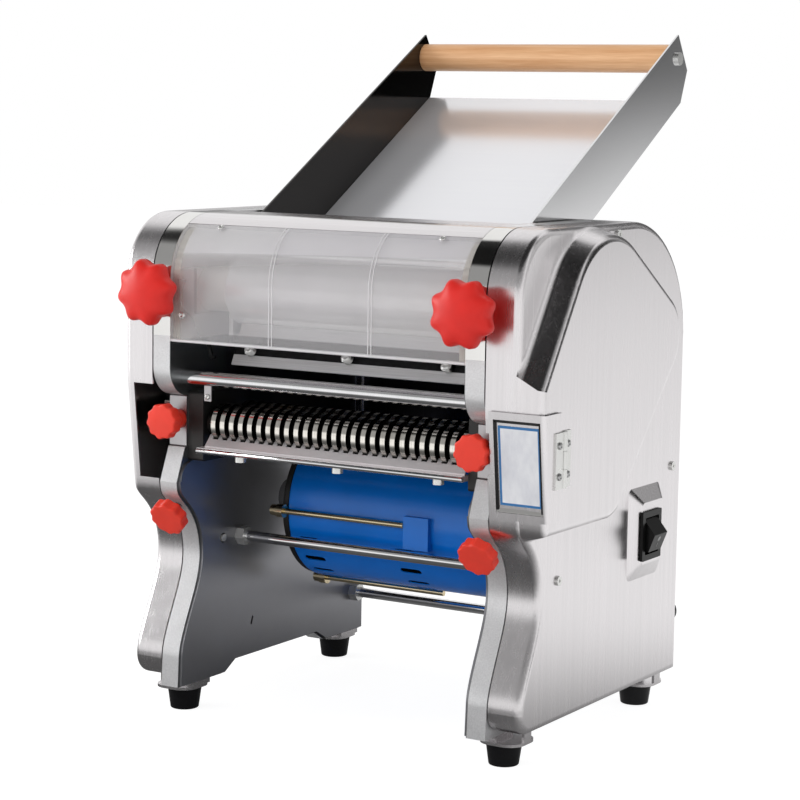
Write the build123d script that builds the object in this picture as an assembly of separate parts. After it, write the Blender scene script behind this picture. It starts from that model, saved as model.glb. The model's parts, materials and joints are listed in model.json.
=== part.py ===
from build123d import *
from math import acos, atan2, cos, degrees, hypot, pi, radians, sin, tan
import os

# Electric pasta maker: two dough rollers over a pair of noodle cutters, all
# driven by one motor. Millimetres, X to the user's right, Y to the back, Z up.
# The machine is drawn about the middle of its four feet, and write() moves
# every piece so that the origin is under the middle of its whole box.

# ---- Driving dimensions: frame and covers --------------------------------
INNER_WIDTH = 244.0        # clear width between the side frames
FRAME_THICK = 15.0
COVER_GAP = 1.0            # slit between a side frame and its cover
COVER_DEPTH = 25.0         # how far a side cover stands out
COVER_WALL = 1.5
COVER_ROUND = 5.0          # rounding of a cover's outer edge
BULGE_DEPTH = 18.5         # how far the gear bulge stands out of the right cover
BULGE_TAPER = 16.0         # slope of the bulge's side walls, degrees
TOP_Z = 370.0              # top of the body
FRONT_Y = -142.0           # front of the upper body
REAR_Y = 118.0             # back of the body
FRAME_FOOT_Z = 22.0        # underside of the side frames
COVER_FOOT_Z = 27.0        # underside of the side covers
ARCH_Z = 30.0              # raised middle of a frame's underside
ARCH_Y = (-76.0, 64.0)     # where the underside starts to rise, front and back
ARCH_SLOPE = 14.0
FRONT_ROUND = 46.0         # top front corner
REAR_ROUND = 89.0          # top rear corner
NOSE_BEND = 100.0          # gentle bend where a cover's front starts to lean back
NOSE_ROUND = 22.0          # lower front corner of the upper body
SHEET = 1.5                # top, rear and tray sheet
LINER_THICK = 2.0          # liners on the inner faces of the legs
LINER_CORNER = 14.0
LINER_TOP_DROP = 10.4      # how far the liners stop below the notch for the cutters
LINER_SLOT_AT = (-39.5, 56.8)
LINER_SCREW_AT = (-78.0, 126.4)
REAR_COVER_Z = 168.0       # lower edge of the rear panel
REAR_FLANGE = 12.0
POST_R = 3.6               # posts that take the covers' screws
CAP_TOP_RUN = 36.0         # how far a frame's cap runs back over the top
CLEAR = 0.3                # gap between neighbours that don't move together
FIT = 0.05                 # radial play of a shaft in its bearing
NEAR = 0.1                 # an edge this near to a plane or a line lies on it

# Front edge of the legs, from the floor up to the shoulder (Y, Z).
LEG_CURVE = [(-130, 42), (-126, 60), (-114, 86), (-105, 113), (-108, 137), (-119, 154), (-130.5, 165)]
SHOULDER = (-133.5, 175)
POCKET_LIP = 10.0          # slope between the shoulder and the notch behind it

# Gear bulge on the outer face of the right cover: corners and their rounding (Y, Z).
BULGE_CORNERS = [(-30.0, 168.0), (86.0, 294.0), (-60.6, 386.0)]
BULGE_ROUNDS = (25.0, 30.0, 62.0)
BULGE_FRONT_Z = (168.0, 234.0)
BULGE_COVES = (3.0, 6.0)   # hollow rounding where it rises out of the side, behind and in front

# ---- Driving dimensions: rollers and cutters ------------------------------
ROLL_INSET = (30.0, 6.0)   # from the side frames to the rollers' ends, left and right
ROLL_R = 25.0
ROLL_Z = 315.0
REAR_ROLL_Y = -39.0
DOUGH_GAP = 3.0            # gap between the rollers at rest
GAP_TRAVEL = 2.5           # how far the front roller moves either way
SPINDLE_PITCH = 1.5
JOURNAL_R = 9.0
BLOCK_HALF = 18.0          # half the height and depth of a bearing block
DRIVE_SHAFT_R = 7.0
BUSH_WALL = 5.0
CUTTER_Y = -108.0          # axis of the front cutter
CUTTER_Z = 218.0
CUTTER_SHAFT_R = 6.0
RING_R = 14.5
RING_CORE_R = 10.8
RING_PITCH = 8.0
RING_WIDTH = 3.8
RING_INSET = (24.0, 12.0)  # from the side frames to the middle of the end rings
POCKET_Z = (200.0, 238.0)  # notch in each side frame that takes the cutter unit
POCKET_REAR_Y = -64.0
CUTTER_PLATE = (13.5, 8.5)  # thickness of the cutter's end plates, left and right
CUTTER_PLATE_FOOT_Z = 190.0
CUTTER_BLOCK_REACH = 14.0  # from the front cutter's axis to the front of its block
CUTTER_PLATE_REACH = 12.0
CUTTER_PLATE_RISE = 3.0
COMB_Z = 201.5             # top of the combs' rails
COMB_RAIL_OUT = 28.0       # from the middle of the cutters to the middle of a rail
COMB_RAIL = (10.0, 4.0)    # depth and thickness
COMB_TIP = (21.5, 7.8)     # tips of the comb, out from the middle and above the rail
COMB_SHEET = 1.2
COMB_BOLT = (4.0, 2.0)     # radius of a comb bolt's head and stem
SCREW_ROW_INSET = (49.0, 30.0)  # from the side frames to the end screws of a row
SCREW_ROW_SHIFT = 0.5      # the middle screw stands off the middle of the row

# ---- Driving dimensions: scrapers -------------------------------------------
SCRAPER_TOUCH = 253.0      # where the front scraper meets its roller, degrees
SCRAPER_RUN, SCRAPER_RISE = 13.5, 29.0
SCRAPER_THICK = 1.5
SCRAPER_ROD_R = 3.0
SCRAPER_INSET = (4.0, 8.0)  # from the roller's ends to the scraper's ends
SCRAPER_ARM = 4.0          # how far its arms stand outside the roller's ends
SCRAPER_SCREW = (3.6, 4.0)  # radius and height of its spring screws

# ---- Driving dimensions: gears and belt ------------------------------------
MODULE = 2.0
ROLLER_TEETH = 46
PINION_TEETH = 15
LIFTER_TEETH = 24
IDLER_TEETH = 33
CUTTER_TEETH = 16
CUTTER_PAIR_TEETH = 13
LONG_TEETH = 18
LONG_TOOTH = (21.0, 29.0)  # root and tip radius of the long-toothed gears
GEAR_WIDTH = 8.5
COUNTERSHAFT_TILT = 33.0   # direction from the rear roller down to the countershaft
COUNTERSHAFT_R = 8.0
DRIVE_PULLEY_R = 51.0
MOTOR_PULLEY_R = 16.0
BELT_WIDTH = 7.0
BELT_THICK = 5.0

# ---- Driving dimensions: motor ---------------------------------------------
MOTOR_AT = (8.0, 147.0)    # motor axis (Y, Z)
MOTOR_R = 57.0
MOTOR_INSET = (40.0, 24.0)  # from the side frames to the ends of its barrel
MOTOR_WALL = 3.0
MOTOR_BELL = 6.0
MOTOR_SHAFT_R = 7.0
MOTOR_BOSS = (104.0, 21.0)  # terminal boss: from the barrel's left end, and its width
ROTOR_INSET = 30.0
ROTOR_GAP = 14.0
VENT_ANGLES = (-22, -40, -56, -70)
VENT_SLOT = (18.0, 5.0)
VENT_INSET = (17.0, 101.0)  # middles of the two rows of slots, from the barrel's left end
TIE_BOLT_R = 2.2           # long bolts that hold the motor's end bells
TIE_BOLT_OUT = 3.2
CRADLE_WIDTH = 28.0
CRADLE_THICK = 11.0
CRADLE_DROP = 26.0         # top of the cradle, below the motor's axis

# ---- Driving dimensions: knobs, guard, tray, small parts -------------------
BIG_KNOB_R = 24.0
BIG_KNOB_OUT = 28.5        # its face, out from the front of the body
BIG_KNOB_DEEP = 16.0
BIG_KNOB_DOME = 5.0
CUTTER_KNOB_R = 13.2
LEG_KNOB_R = 14.2
SMALL_KNOB_DEEP = 9.0
CUTTER_KNOB_SHIFT = 1.2    # inwards from the middle of the frame, to clear the door
CUTTER_KNOB_RISE = 2.5     # above the cutters' axis
CUTTER_KNOB_OUT = 37.0     # its face, out from the front cutter's axis
KNOB_NECK_R = (9.0, 7.0)   # necks of the large and the small knobs
BIG_KNOB_LOBE = 4.2        # depth between the lobes
SMALL_KNOB_LOBE = 1.5
SPINDLE_GRIP = 5.0         # how deep a spindle reaches into its bearing block
LEG_KNOB_NECK = 9.5        # where the lower knob's neck starts, out from the leg
LEG_KNOB_AT = (-117.5, 158.5)  # where the lower knob's neck meets the leg (Y, Z)
LEG_KNOB_TILT = 32.0       # how far it points below the horizontal
LEG_KNOB_FACE = 22.0       # its face, out from the leg
LEG_KNOB_STUD = 10.0       # how deep its stud goes into the leg
SPINDLE_R = 5.0
STUD_R = 3.0
GUARD_FOOT_Z = 279.0
GUARD_THICK = 3.0
GUARD_END_ANGLE = 58.0     # where on the front corner the top cover takes over
CAP_FOOT_Z = 283.0
CAP_THICK = 2.5
FEED_Y = (-60.0, 60.0)     # feed opening in the top cover
FEED_INSET = 5.5           # from the side frames to the ends of the feed opening
TRAY_PLAY = 2.0            # from there to the tray's cheeks
TRAY_SLOPE = 30.5
TRAY_LOW = (-5.65, 332.3)  # lower end of the tray's floor (Y, Z)
TRAY_LENGTH = 241.0
TRAY_LAP = 38.0            # how far the cheeks reach past the lower end of the floor
TRAY_NOSE_FROM = (-7.0, 52.4)  # highest point of a cheek, from the floor's upper end
TRAY_HEEL_FROM = (10.7, 25.4)
TRAY_ROD_FROM = (-7.0, 33.9)
TRAY_ROD_R = 11.0
TRAY_SCREW = (3.0, 5.0, 2.2)   # stem and head radius of its screws, and the head's height
TRAY_SCREW_DEEP = 11.0
BAR_AT = (-124.4, 251.9)   # chrome guide bar (Y, Z)
BAR_R = 5.3
FRONT_TIE_AT = (-56.0, 125.5)
REAR_TIE_AT = (104.0, 55.0)
TRAY_REST_ALONG = 22.0     # rest rod, up the tray from its lower end
TIE_R = 4.0
TIE_NUT_R = 7.4            # across the corners, from the axis
FOOT_SHIFT = 7.0           # feet stand outside the middle of the side frames
FOOT_Y = 103.0
FOOT_R = (10.5, 12.8)      # a foot's radius at the floor and at its top
FOOT_HIGH = 16.5
BRACKET_THICK = 2.0
BRACKET_ROUND = 12.0       # rounding of a bracket's corners
BRACKET_HALF = (17.0, 12.0)  # half the depth of a bracket and of its pad
BRACKET_INSET = 8.0        # from the cover's outer face to the bracket's lip
GLAND_OUT, GLAND_Z = 13.0, 70.0  # cord gland in the right cover's back
GLAND_R = 6.0
GLAND_BORE_R = 3.6
DOOR_Z = (177.0, 250.0)
DOOR_RETURN = 23.0         # depth of the door's side return
DOOR_THICK = 2.2
DOOR_PANEL_SINK = 1.4      # how deep the middle of the door is pressed in
DOOR_RIM = (3.2, 5.0)      # width of the rim round it, beside it and above and below it
LABEL_INSET = (3.0, 1.0, 5.0, 4.0)  # left, right, foot and top
LABEL_THICK = 0.4
HINGE_PROUD = 0.4          # hinge pin, out from the door's side
HINGE_FREE = 0.6           # from the knuckles to the leaves
HINGE_Z = 218.0
HINGE_HALF_Z = 19.0
HINGE_R = 2.2
HINGE_PIN_R = 1.0
HINGE_LEAF = 1.2
HINGE_REACH = 13.0         # width of a leaf, from the pin
RIVET_R = 2.0
SWITCH_AT = (50.5, 141.5)  # middle of the rocker switch (Y, Z)
SWITCH_SIZE = (31.0, 36.0)
SWITCH_PAD_Y = (28.0, 80.0, 38.0, 72.0)   # foot and top of the switch's pad
SWITCH_PAD_Z = (108.5, 176.5, 120.5, 166.0)
SWITCH_PAD_HIGH = 7.0
BEZEL_LIP = 2.0
BEZEL_WALL = 2.2
BEZEL_DEEP = 20.0
ROCKER_SINK = 1.0          # rocker's pivot, in from the face of the pad
ROCKER_RISE = 10.5         # rocker's ridge, out from its pivot
ROCKER_TILT = 9.0          # rocker's swing to either side of the middle
SCREW_R = 3.4
SCREW_STEM_R = 2.0
COVER_SCREWS = [(-0.5, 362.3), (100.7, 185.3), (-79.8, 127.8)]  # (Y, Z)

# ---- Values that follow ------------------------------------------------------
FRAME_IN = INNER_WIDTH / 2
FRAME_OUT = FRAME_IN + FRAME_THICK
COVER_IN = FRAME_OUT + COVER_GAP
COVER_OUT = COVER_IN + COVER_DEPTH
BULGE_OUT = COVER_OUT + BULGE_DEPTH
KNOB_X = (FRAME_IN + FRAME_OUT) / 2        # knobs sit on the middle of each side frame
FRONT_ROLL_Y = REAR_ROLL_Y - 2 * ROLL_R - DOUGH_GAP
ROLL_LEFT_X = ROLL_INSET[0] - FRAME_IN
ROLL_RIGHT_X = FRAME_IN - ROLL_INSET[1]
REAR_CUTTER_Y = CUTTER_Y + MODULE * CUTTER_PAIR_TEETH
RING_FIRST_X = RING_INSET[0] - FRAME_IN
RING_COUNT = int((INNER_WIDTH - sum(RING_INSET)) / RING_PITCH) + 1
SCREW_ROW_X = (SCREW_ROW_INSET[0] - FRAME_IN,
               (SCREW_ROW_INSET[0] - SCREW_ROW_INSET[1]) / 2 + SCREW_ROW_SHIFT,
               FRAME_IN - SCREW_ROW_INSET[1])
CUTTER_STUD_TIP = CUTTER_Y - CUTTER_SHAFT_R - 1.5
MOTOR_X = (MOTOR_INSET[0] - FRAME_IN, FRAME_IN - MOTOR_INSET[1])
CRADLE_R = MOTOR_R + CRADLE_THICK
BIG_KNOB_Z = ROLL_Z
BIG_KNOB_FACE_Y = FRONT_Y - BIG_KNOB_OUT
CUTTER_KNOB_X = KNOB_X - CUTTER_KNOB_SHIFT
CUTTER_KNOB_Z = CUTTER_Z + CUTTER_KNOB_RISE
CUTTER_KNOB_FACE_Y = CUTTER_Y - CUTTER_KNOB_OUT
FOOT_X = KNOB_X + FOOT_SHIFT
FEED_HALF_X = FRAME_IN - FEED_INSET
TRAY_HALF_X = FEED_HALF_X - TRAY_PLAY
GLAND_AT = (COVER_IN + GLAND_OUT, GLAND_Z)
DOOR_LEFT_X = CUTTER_KNOB_X + CUTTER_KNOB_R + CLEAR
DOOR_RETURN_Y = FRONT_Y + DOOR_RETURN
HINGE_AT = (BULGE_OUT + CLEAR + DOOR_THICK + HINGE_PROUD, DOOR_RETURN_Y + HINGE_R + HINGE_FREE)
FRONT_WALL_Y = (FRONT_Y - 5, FRONT_Y + 14)  # depth that holds a cover's front wall near the door
INNER_GEAR_X = FRAME_OUT + 2.5             # plane of the gears next to the frame
PULLEY_X = INNER_GEAR_X + GEAR_WIDTH + 2.0  # plane of the belt
OUTER_GEAR_X = COVER_OUT + 1.0             # plane of the gears inside the bulge
COUNTERSHAFT_REACH = MODULE * (ROLLER_TEETH + PINION_TEETH) / 2
COUNTERSHAFT_AT = (REAR_ROLL_Y + COUNTERSHAFT_REACH * cos(radians(COUNTERSHAFT_TILT)),
                   ROLL_Z - COUNTERSHAFT_REACH * sin(radians(COUNTERSHAFT_TILT)))
IDLER_REACH = MODULE * (LIFTER_TEETH + IDLER_TEETH) / 2
CUTTER_REACH = MODULE * (IDLER_TEETH + CUTTER_TEETH) / 2
ROLL_TO_CUTTER = hypot(REAR_CUTTER_Y - REAR_ROLL_Y, CUTTER_Z - ROLL_Z)


def idler_axis():
    """Where the idler meshes with both the roller's gear and the cutter's gear (Y, Z)."""
    line = atan2(CUTTER_Z - ROLL_Z, REAR_CUTTER_Y - REAR_ROLL_Y)
    cosine = (IDLER_REACH ** 2 + ROLL_TO_CUTTER ** 2 - CUTTER_REACH ** 2) / (2 * IDLER_REACH * ROLL_TO_CUTTER)
    angle = line + acos(min(1.0, cosine))
    return (REAR_ROLL_Y + IDLER_REACH * cos(angle), ROLL_Z + IDLER_REACH * sin(angle))


IDLER_AT = idler_axis()
TRAY_RUN, TRAY_RISE = cos(radians(TRAY_SLOPE)), sin(radians(TRAY_SLOPE))
TRAY_CORNER = (TRAY_LOW[0] + TRAY_LENGTH * TRAY_RUN, TRAY_LOW[1] + TRAY_LENGTH * TRAY_RISE)
TRAY_NOSE, TRAY_HEEL, TRAY_ROD = [(TRAY_CORNER[0] + y, TRAY_CORNER[1] + z)
                                  for y, z in (TRAY_NOSE_FROM, TRAY_HEEL_FROM, TRAY_ROD_FROM)]
TRAY_REST_AT = (TRAY_LOW[0] + TRAY_REST_ALONG * TRAY_RUN + (TIE_R + FIT) * TRAY_RISE,
                TRAY_LOW[1] + TRAY_REST_ALONG * TRAY_RISE - (TIE_R + FIT) * TRAY_RUN)
BOX_LOW = (-COVER_OUT, BIG_KNOB_FACE_Y)
BOX_HIGH = (HINGE_AT[0] + HINGE_R, TRAY_HEEL[0])
ORIGIN = (-(BOX_LOW[0] + BOX_HIGH[0]) / 2, -(BOX_LOW[1] + BOX_HIGH[1]) / 2, 0)


# ---- Small helpers -------------------------------------------------------------
STANDING = (Align.CENTER, Align.CENTER, Align.MIN)


def write(name, *solids):
    """Write one node, moved to the machine's own origin."""
    whole = Compound(children=[s.moved(Location(ORIGIN)) for piece in solids for s in piece.solids()])
    whole.label = name
    export_step(whole, f"parts/{name}.step")


def bar_x(x0, x1, at, radius):
    """Round bar along X through at = (Y, Z)."""
    return Pos(x0, at[0], at[1]) * Rot(0, 90, 0) * Cylinder(radius, x1 - x0, align=STANDING)


def bar_y(x, z, y0, y1, radius):
    """Round bar along Y."""
    return Pos(x, y0, z) * Rot(-90, 0, 0) * Cylinder(radius, y1 - y0, align=STANDING)


def bar_z(x, y, z0, z1, radius):
    """Round bar along Z."""
    return Pos(x, y, z0) * Cylinder(radius, z1 - z0, align=STANDING)


def block(x, y, z):
    """Box between the pairs x, y and z."""
    middle = Pos((x[0] + x[1]) / 2, (y[0] + y[1]) / 2, (z[0] + z[1]) / 2)
    return middle * Box(x[1] - x[0], y[1] - y[0], z[1] - z[0])


def plate_x(face, x0, x1):
    """A side view (Y, Z) made into a plate from x0 to x1."""
    return extrude(Plane.YZ.offset(x0) * face, x1 - x0, dir=(1, 0, 0))


def outline(*lines):
    """Side view bounded by lines that meet end to end."""
    return make_face(Curve() + list(lines))


def both_sides(piece):
    return piece, mirror(piece, Plane.YZ)


def cut_window(y, z, radius=0.0):
    """Rounded rectangle in the side view."""
    middle = Pos((y[0] + y[1]) / 2, (z[0] + z[1]) / 2)
    size = (y[1] - y[0], z[1] - z[0])
    return middle * (RectangleRounded(*size, radius) if radius else Rectangle(*size))


# ---- Side views ------------------------------------------------------------------
def upper_lines(foot_z, leg_start, inset=0.0):
    """Back, top and front of the body from the rear foot round to the nose front."""
    rear_turn = (REAR_Y - REAR_ROUND, TOP_Z - REAR_ROUND)
    front_turn = (FRONT_Y + FRONT_ROUND, TOP_Z - FRONT_ROUND)
    rear_y, top_z, front_y = REAR_Y - inset, TOP_Z - inset, FRONT_Y + inset
    return [
        Line((rear_y, foot_z), (rear_y, rear_turn[1])),
        RadiusArc((rear_y, rear_turn[1]), (rear_turn[0], top_z), inset - REAR_ROUND),
        Line((rear_turn[0], top_z), (front_turn[0], top_z)),
        RadiusArc((front_turn[0], top_z), (front_y, front_turn[1]), inset - FRONT_ROUND),
        Line((front_y, front_turn[1]), leg_start),
    ]


def leg_points(inset=0.0):
    """Points of the front of a leg up to the shoulder, moved into the leg by inset."""
    points = [*LEG_CURVE, SHOULDER]
    moved = [(points[0][0] + inset, points[0][1])]
    for before, (y, z), after in zip(points, points[1:], points[2:]):
        run, rise = after[0] - before[0], after[1] - before[1]
        length = hypot(run, rise)
        moved.append((y + inset * rise / length, z - inset * run / length))
    return moved + [(SHOULDER[0] + inset, SHOULDER[1])]


def leg_spline(inset=0.0):
    return Spline(*leg_points(inset), tangents=[(0, 1), (FRONT_Y - SHOULDER[0], DOOR_Z[1] - SHOULDER[1])])


def cover_view(inset=0.0):
    """Outline of a side cover, drawn inset by a wall."""
    lean = atan2(SHOULDER[0] - FRONT_Y, DOOR_Z[1] - SHOULDER[1])
    bend = NOSE_BEND * tan(lean / 2)
    front = (FRONT_Y + inset, DOOR_Z[1] + bend)
    nose = (FRONT_Y + inset + bend * sin(lean), DOOR_Z[1] - bend * cos(lean))
    shoulder = (SHOULDER[0] + inset, SHOULDER[1])
    foot = (LEG_CURVE[0][0] + inset, LEG_CURVE[0][1])
    corner = LEG_CURVE[0][1] - COVER_FOOT_Z
    low_z = COVER_FOOT_Z + inset
    turn_y = LEG_CURVE[0][0] + corner
    return outline(*upper_lines(low_z, front, inset),
                   RadiusArc(front, nose, inset - NOSE_BEND),
                   Line(nose, shoulder),
                   leg_spline(inset),
                   RadiusArc(foot, (turn_y, low_z), inset - corner),
                   Line((turn_y, low_z), (REAR_Y - inset, low_z)))


def frame_view():
    """Outline of a side frame with the notch that takes the cutter unit."""
    nose_z = POCKET_Z[1] + NOSE_ROUND
    foot = LEG_CURVE[0]
    front_pad, rear_pad = ARCH_Y
    lines = upper_lines(FRAME_FOOT_Z, (FRONT_Y, nose_z)) + [
        RadiusArc((FRONT_Y, nose_z), (FRONT_Y + NOSE_ROUND, POCKET_Z[1]), -NOSE_ROUND),
        Line((FRONT_Y + NOSE_ROUND, POCKET_Z[1]), (POCKET_REAR_Y, POCKET_Z[1])),
        Line((POCKET_REAR_Y, POCKET_Z[1]), (POCKET_REAR_Y, POCKET_Z[0])),
        Line((POCKET_REAR_Y, POCKET_Z[0]), (SHOULDER[0] + POCKET_LIP, POCKET_Z[0])),
        Line((SHOULDER[0] + POCKET_LIP, POCKET_Z[0]), SHOULDER),
        leg_spline(),
        Line(foot, (foot[0] - 1, FRAME_FOOT_Z)),
        Line((foot[0] - 1, FRAME_FOOT_Z), (front_pad, FRAME_FOOT_Z)),
        Line((front_pad, FRAME_FOOT_Z), (front_pad + ARCH_SLOPE, ARCH_Z)),
        Line((front_pad + ARCH_SLOPE, ARCH_Z), (rear_pad - ARCH_SLOPE, ARCH_Z)),
        Line((rear_pad - ARCH_SLOPE, ARCH_Z), (rear_pad, FRAME_FOOT_Z)),
        Line((rear_pad, FRAME_FOOT_Z), (REAR_Y, FRAME_FOOT_Z)),
    ]
    return outline(*lines)


def bulge_view(grow=0.0):
    """Outline of the gear bulge on the right cover, on its outer face."""
    front = FRONT_Y - 20
    low_z, high_z = BULGE_FRONT_Z
    face = Polygon((front, low_z), *BULGE_CORNERS, (front, high_z), align=None)
    for (y, z), radius in zip(BULGE_CORNERS, BULGE_ROUNDS):
        near = face.vertices().sort_by_distance((y, z, 0))[0]
        face = fillet(near, radius)
    return offset(face, grow) if grow else face


# ---- Frame, covers and what closes the body -----------------------------------------
def make_side_frame():
    """Right side frame, before the holes that only one side has."""
    plate = plate_x(frame_view(), FRAME_IN, FRAME_OUT)
    half = BLOCK_HALF + CLEAR
    travel = GAP_TRAVEL + CLEAR
    slot_y = (FRONT_ROLL_Y - half - travel, FRONT_ROLL_Y + half + travel)
    window = cut_window(slot_y, (ROLL_Z - half, ROLL_Z + half))
    plate -= plate_x(window, FRAME_IN, FRAME_OUT)
    plate -= bar_x(FRAME_IN, FRAME_OUT, (REAR_ROLL_Y, ROLL_Z), JOURNAL_R + FIT + BUSH_WALL)
    plate -= bar_y(KNOB_X, BIG_KNOB_Z, FRONT_Y, FRONT_ROLL_Y - half, SPINDLE_R + FIT)
    plate -= cap_band(FRAME_IN, FRAME_OUT)
    plate -= bar_x(FRAME_IN, FRAME_IN + 6, BAR_AT, BAR_R)
    for at in (FRONT_TIE_AT, REAR_TIE_AT, TRAY_REST_AT):
        plate -= bar_x(FRAME_IN, FRAME_IN + 8, at, TIE_R)
    return plate - leg_stud(LEG_KNOB_STUD + CLEAR, STUD_R + CLEAR)


def leg_direction():
    """Unit vector (Y, Z) out of the leg along the lower knob's axis."""
    tilt = radians(LEG_KNOB_TILT)
    return (-cos(tilt), -sin(tilt))


def along_leg_axis(start, end, radius):
    """Round bar on the lower knob's axis, measured out from the leg's face."""
    out_y, out_z = leg_direction()
    root = (KNOB_X, LEG_KNOB_AT[0] + start * out_y, LEG_KNOB_AT[1] + start * out_z)
    plane = Plane(origin=root, x_dir=(1, 0, 0), z_dir=(0, out_y, out_z))
    return plane * Cylinder(radius, end - start, align=STANDING)


def leg_stud(deep, radius):
    return along_leg_axis(-deep, LEG_KNOB_FACE - SMALL_KNOB_DEEP, radius)


def cap_band(x0, x1, thick=CAP_THICK):
    """Band that follows the front, the top front corner and a little of the top."""
    turn = (FRONT_Y + FRONT_ROUND, TOP_Z - FRONT_ROUND)
    inner = FRONT_ROUND - thick
    end_y = turn[0] + CAP_TOP_RUN
    face = outline(
        Line((FRONT_Y, CAP_FOOT_Z), (FRONT_Y, turn[1])),
        RadiusArc((FRONT_Y, turn[1]), (turn[0], TOP_Z), FRONT_ROUND),
        Line((turn[0], TOP_Z), (end_y, TOP_Z)),
        Line((end_y, TOP_Z), (end_y, TOP_Z - thick)),
        Line((end_y, TOP_Z - thick), (turn[0], TOP_Z - thick)),
        RadiusArc((turn[0], TOP_Z - thick), (turn[0] - inner, turn[1]), -inner),
        Line((turn[0] - inner, turn[1]), (turn[0] - inner, CAP_FOOT_Z)),
        Line((turn[0] - inner, CAP_FOOT_Z), (FRONT_Y, CAP_FOOT_Z)),
    )
    return plate_x(face, x0, x1)


def cover_posts():
    """Posts on a frame that take the screws of its cover."""
    posts = [bar_x(FRAME_OUT, COVER_OUT - COVER_WALL - CLEAR, at, POST_R) for at in COVER_SCREWS]
    bores = [bar_x(COVER_OUT - 10, COVER_OUT, at, SCREW_STEM_R) for at in COVER_SCREWS]
    return [post - bore for post, bore in zip(posts, bores)]


def make_frames():
    right = make_side_frame()
    for post in cover_posts():
        right += post
    left = mirror(right, Plane.YZ)
    right -= bar_x(FRAME_IN, FRAME_OUT, MOTOR_AT, MOTOR_SHAFT_R + 6)
    right -= bar_x(FRAME_IN, FRAME_OUT, COUNTERSHAFT_AT, COUNTERSHAFT_R + FIT)
    right -= bar_x(FRAME_IN, FRAME_OUT, IDLER_AT, CUTTER_SHAFT_R)
    write("side_frame_left", left)
    write("side_frame_right", right)


def make_frame_caps():
    cap = cap_band(FRAME_IN, FRAME_OUT)
    cap -= bar_y(KNOB_X, BIG_KNOB_Z, FRONT_Y - 1, FRONT_Y + CAP_THICK + 1, SPINDLE_R + FIT)
    write("frame_caps", *both_sides(cap))


def make_lower_plates():
    """Thin liners on the inner faces of the legs."""
    top_z = POCKET_Z[0] - LINER_TOP_DROP
    corner_y = LEG_CURVE[-1][0] + LINER_CORNER
    leg = frame_view() & (Pos(1.4, 1.0) * frame_view())
    area = cut_window((FRONT_Y, REAR_Y), (0, top_z))
    area -= cut_window((FRONT_Y, corner_y), (top_z - LINER_CORNER, top_z))
    area += Pos(corner_y, top_z - LINER_CORNER) * Circle(LINER_CORNER)
    face = leg & area
    plate = plate_x(face, FRAME_IN - LINER_THICK, FRAME_IN)
    for at in (FRONT_TIE_AT, REAR_TIE_AT):
        plate -= bar_x(FRAME_IN - LINER_THICK, FRAME_IN, at, TIE_R)
    plate -= bar_x(FRAME_IN - LINER_THICK, FRAME_IN, MOTOR_AT, MOTOR_SHAFT_R + 6)
    right, left = both_sides(plate)
    slot = Pos(*LINER_SLOT_AT) * Rot(0, 0, 70) * SlotOverall(7, 2)
    left -= plate_x(slot, -FRAME_IN, LINER_THICK - FRAME_IN)
    left -= bar_x(-FRAME_IN, LINER_THICK - FRAME_IN, LINER_SCREW_AT, SCREW_R + 0.4)
    write("lower_plates", right, left)


def rounded_shell_solid(face, x0, x1, radius):
    """Plate of a side view whose edges on the x1 side are rounded."""
    solid = plate_x(face, x0, x1)
    return fillet(solid.faces().sort_by(Axis.X)[-1].edges(), radius)


def cover_body(inset):
    """Cover's outer body, or with an inset the room inside it, open to the frame."""
    inner_x = COVER_IN - (1.0 if inset else 0.0)
    return rounded_shell_solid(cover_view(inset), inner_x, COVER_OUT - inset, COVER_ROUND - inset)


def bulge_body(inset):
    """The bulge, trimmed to the front of the cover."""
    deep = COVER_OUT - COVER_WALL - 0.5
    high = BULGE_OUT - inset - deep
    base = bulge_view(high * tan(radians(BULGE_TAPER)) - inset)
    raw = extrude(Plane.YZ.offset(deep) * base, high, taper=BULGE_TAPER)
    trim = plate_x(cover_view(inset), deep, BULGE_OUT + 1)
    solid = raw & trim
    return fillet(solid.faces().sort_by(Axis.X)[-1].edges(), COVER_ROUND - inset)


def make_left_cover():
    shell = cover_body(0) - cover_body(COVER_WALL)
    opening = block((COVER_IN - 1, COVER_OUT - 8), FRONT_WALL_Y, (DOOR_Z[0], DOOR_Z[1] - 3))
    shell -= opening
    for at in COVER_SCREWS:
        shell -= bar_x(COVER_OUT - 5, COVER_OUT, at, SCREW_STEM_R)
    write("left_cover", mirror(shell, Plane.YZ))


def switch_pad(inset):
    """Raised pad under the switch, with sloping sides."""
    foot_x = COVER_OUT - COVER_WALL
    foot = cut_window(SWITCH_PAD_Y[:2], SWITCH_PAD_Z[:2], 5)
    head = cut_window(SWITCH_PAD_Y[2:], SWITCH_PAD_Z[2:], 3)
    if inset:
        foot = offset(foot, -inset)
        head = offset(head, -inset)
    low = Plane.YZ.offset(COVER_OUT if not inset else foot_x) * foot
    high = Plane.YZ.offset(COVER_OUT + SWITCH_PAD_HIGH - inset) * head
    pad = loft([low, high])
    return pad if inset else pad + plate_x(foot, foot_x, COVER_OUT)


def foot_edges(body, front):
    """Edges where the bulge rises out of the cover's side, in front or behind."""
    rim = cover_view(COVER_ROUND).edges()
    found = []
    for edge in body.edges():
        spots = [edge.position_at(share) for share in (0, 0.5, 1)]
        flat = all(abs(spot.X - COVER_OUT) < NEAR for spot in spots)
        middle = Vector(spots[1].Y, spots[1].Z, 0)
        in_front = middle.Y > BULGE_FRONT_Z[1] and middle.X < BULGE_CORNERS[0][0]
        if flat and in_front == front and min(line.distance_to(middle) for line in rim) > NEAR:
            found.append(edge)
    return found


def hollow_foot(body):
    """Rounds the inner corner along the foot of the bulge, and leaves it sharp where no rounding fits."""
    for front, radius in zip((False, True), BULGE_COVES):
        try:
            body = fillet(foot_edges(body, front), radius)
        except ValueError:
            continue
    return body


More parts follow.
